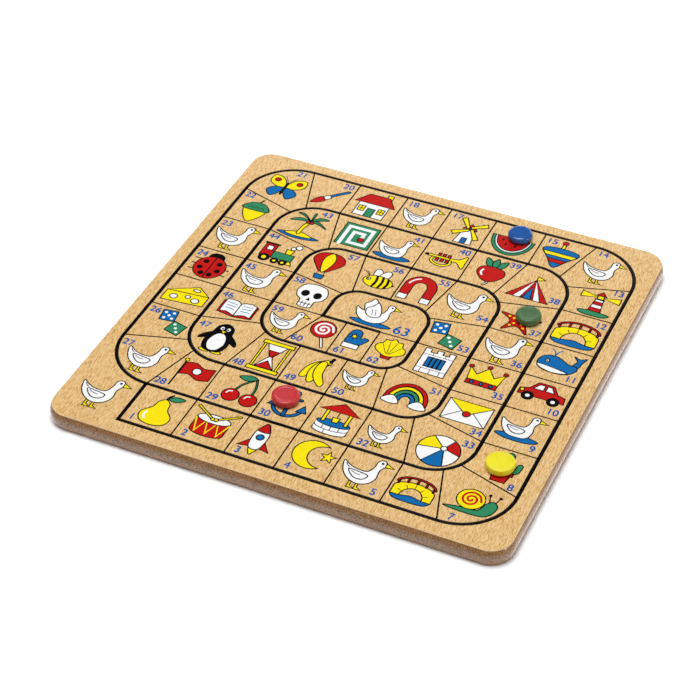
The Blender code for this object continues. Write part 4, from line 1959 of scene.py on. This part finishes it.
def floor_material():
    """White floor that keeps the board's shadow and is plain white to the camera elsewhere."""
    material = bpy.data.materials.new("floor")
    material.use_nodes = True
    tree = material.node_tree
    tree.nodes.remove(tree.nodes["Principled BSDF"])
    path = node(tree, "ShaderNodeLightPath").outputs
    place = node(tree, "ShaderNodeTexCoord").outputs["Object"]
    quarter = output(tree, "ShaderNodeVectorMath", {0: place}, operation="ABSOLUTE")
    away = node(tree, "ShaderNodeSeparateXYZ", {0: quarter}).outputs
    reach = calc(tree, "MAXIMUM", away["X"], away["Y"])
    # Painted reflection: near the board a gloss sees the floor lighter than it is lit
    gloss = ranged(tree, reach, [CORE_HIGH.x + way for way in FLOOR_NEAR], FLOOR_GLOSS)
    white = mixed_colours(tree, path["Is Camera Ray"], opaque(FLOOR_WHITE), opaque(FLOOR_SEEN))
    for ray in ("Is Glossy Ray", "Is Transmission Ray"):
        white = mixed_colours(tree, path[ray], white, gloss)
    matte = output(tree, "ShaderNodeBsdfDiffuse", {"Color": white})
    plain = eased(tree, reach, [CORE_HIGH.x + way for way in FLOOR_PLAIN])
    seen = calc(tree, "MULTIPLY", plain, path["Is Camera Ray"])
    glow = output(tree, "ShaderNodeEmission")
    surface = output(tree, "ShaderNodeMixShader", {0: seen, 1: matte, 2: glow})
    tree.links.new(surface, tree.nodes["Material Output"].inputs["Surface"])
    return material


def add_floor():
    """A plain floor under the board."""
    half = FLOOR_SIDE / 2
    mesh = bpy.data.meshes.new("floor")
    mesh.from_pydata([(x, y, -FLOOR_DROP) for x, y in box_loop(-half, -half, half, half)], [], [(0, 1, 2, 3)])
    mesh.materials.append(floor_material())
    floor = bpy.data.objects.new("floor", mesh)
    bpy.context.scene.collection.objects.link(floor)


def add_sky(strength):
    """Even light from all sides, plain white where the camera sees it."""
    world = bpy.data.worlds.new("studio")
    bpy.context.scene.world = world
    world.use_nodes = True
    tree = world.node_tree
    camera_ray = node(tree, "ShaderNodeLightPath").outputs["Is Camera Ray"]
    back = tree.nodes["Background"]
    back.inputs["Color"].default_value = (1.0, 1.0, 1.0, 1.0)
    tree.links.new(ranged(tree, camera_ray, (0.0, 1.0), (strength, 1.0)), back.inputs["Strength"])


def add_lamp(name, place, size, power):
    """A soft lamp that faces the board."""
    data = bpy.data.lights.new(name, "AREA")
    data.shape = "RECTANGLE"
    data.size, data.size_y = size
    data.energy = power
    lamp = bpy.data.objects.new(name, data)
    lamp.location = place
    lamp.rotation_mode = "QUATERNION"
    lamp.rotation_quaternion = (-Vector(place)).to_track_quat("-Z", "Y")
    bpy.context.scene.collection.objects.link(lamp)


def add_camera(stage):
    """The camera at the photograph's angle."""
    data = bpy.data.cameras.new("camera")
    data.lens = stage.lens
    data.sensor_width = SENSOR_WIDTH
    camera = bpy.data.objects.new("camera", data)
    face_middle = Vector((0.0, 0.0, FACE_TOP))
    place = face_middle + Vector(stage.camera_place)
    aim = face_middle + Vector(stage.camera_aim)
    look = (aim - place).to_track_quat("-Z", "Y").to_matrix().to_4x4()
    camera.matrix_world = Matrix.Translation(place) @ look @ Matrix.Rotation(stage.camera_roll, 4, "Z")
    bpy.context.scene.collection.objects.link(camera)
    bpy.context.scene.camera = camera


class GAMEBOARD_OT_stage(bpy.types.Operator):
    """Makes the floor, the light and the camera"""

    bl_idname = "gameboard.stage"
    bl_label = "Stage"

    def execute(self, context):
        stage = settings().stage
        add_floor()
        add_sky(stage.sky)
        for name, (place, size) in LAMPS.items():
            add_lamp(name, place, size, getattr(stage, name))
        add_camera(stage)
        context.scene.view_settings.view_transform = "Standard"
        return {"FINISHED"}


# Panel and registration

OPERATORS = (
    GAMEBOARD_OT_stage,
    GAMEBOARD_OT_core,
    GAMEBOARD_OT_veneers,
    GAMEBOARD_OT_counters,
    GAMEBOARD_OT_goose_track,
    GAMEBOARD_OT_goose_pictures,
    GAMEBOARD_OT_parcheesi,
)


class GAMEBOARD_PT_panel(bpy.types.Panel):
    """Lists the steps that dress the board"""

    bl_idname = "GAMEBOARD_PT_panel"
    bl_label = "Game board"
    bl_space_type = "VIEW_3D"
    bl_region_type = "UI"
    bl_category = "Game board"

    def draw(self, context):
        for operator in OPERATORS:
            self.layout.operator(operator.bl_idname)


CLASSES = (
    GAMEBOARD_PG_board,
    GAMEBOARD_PG_counters,
    GAMEBOARD_PG_print,
    GAMEBOARD_PG_stage,
    GAMEBOARD_PG_settings,
    *OPERATORS,
    GAMEBOARD_PT_panel,
)


def register():
    """Registers the classes and the scene's settings."""
    for cls in CLASSES:
        bpy.utils.register_class(cls)
    bpy.types.Scene.game_board = PointerProperty(type=GAMEBOARD_PG_settings)


def unregister():
    """Takes the settings and the classes away again."""
    del bpy.types.Scene.game_board
    for cls in reversed(CLASSES):
        bpy.utils.unregister_class(cls)


def main():
    """Dresses the board."""
    register()
    for operator in OPERATORS:
        category, step = operator.bl_idname.split(".")
        getattr(getattr(bpy.ops, category), step)()
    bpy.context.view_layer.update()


if __name__ == "__main__":
    main()
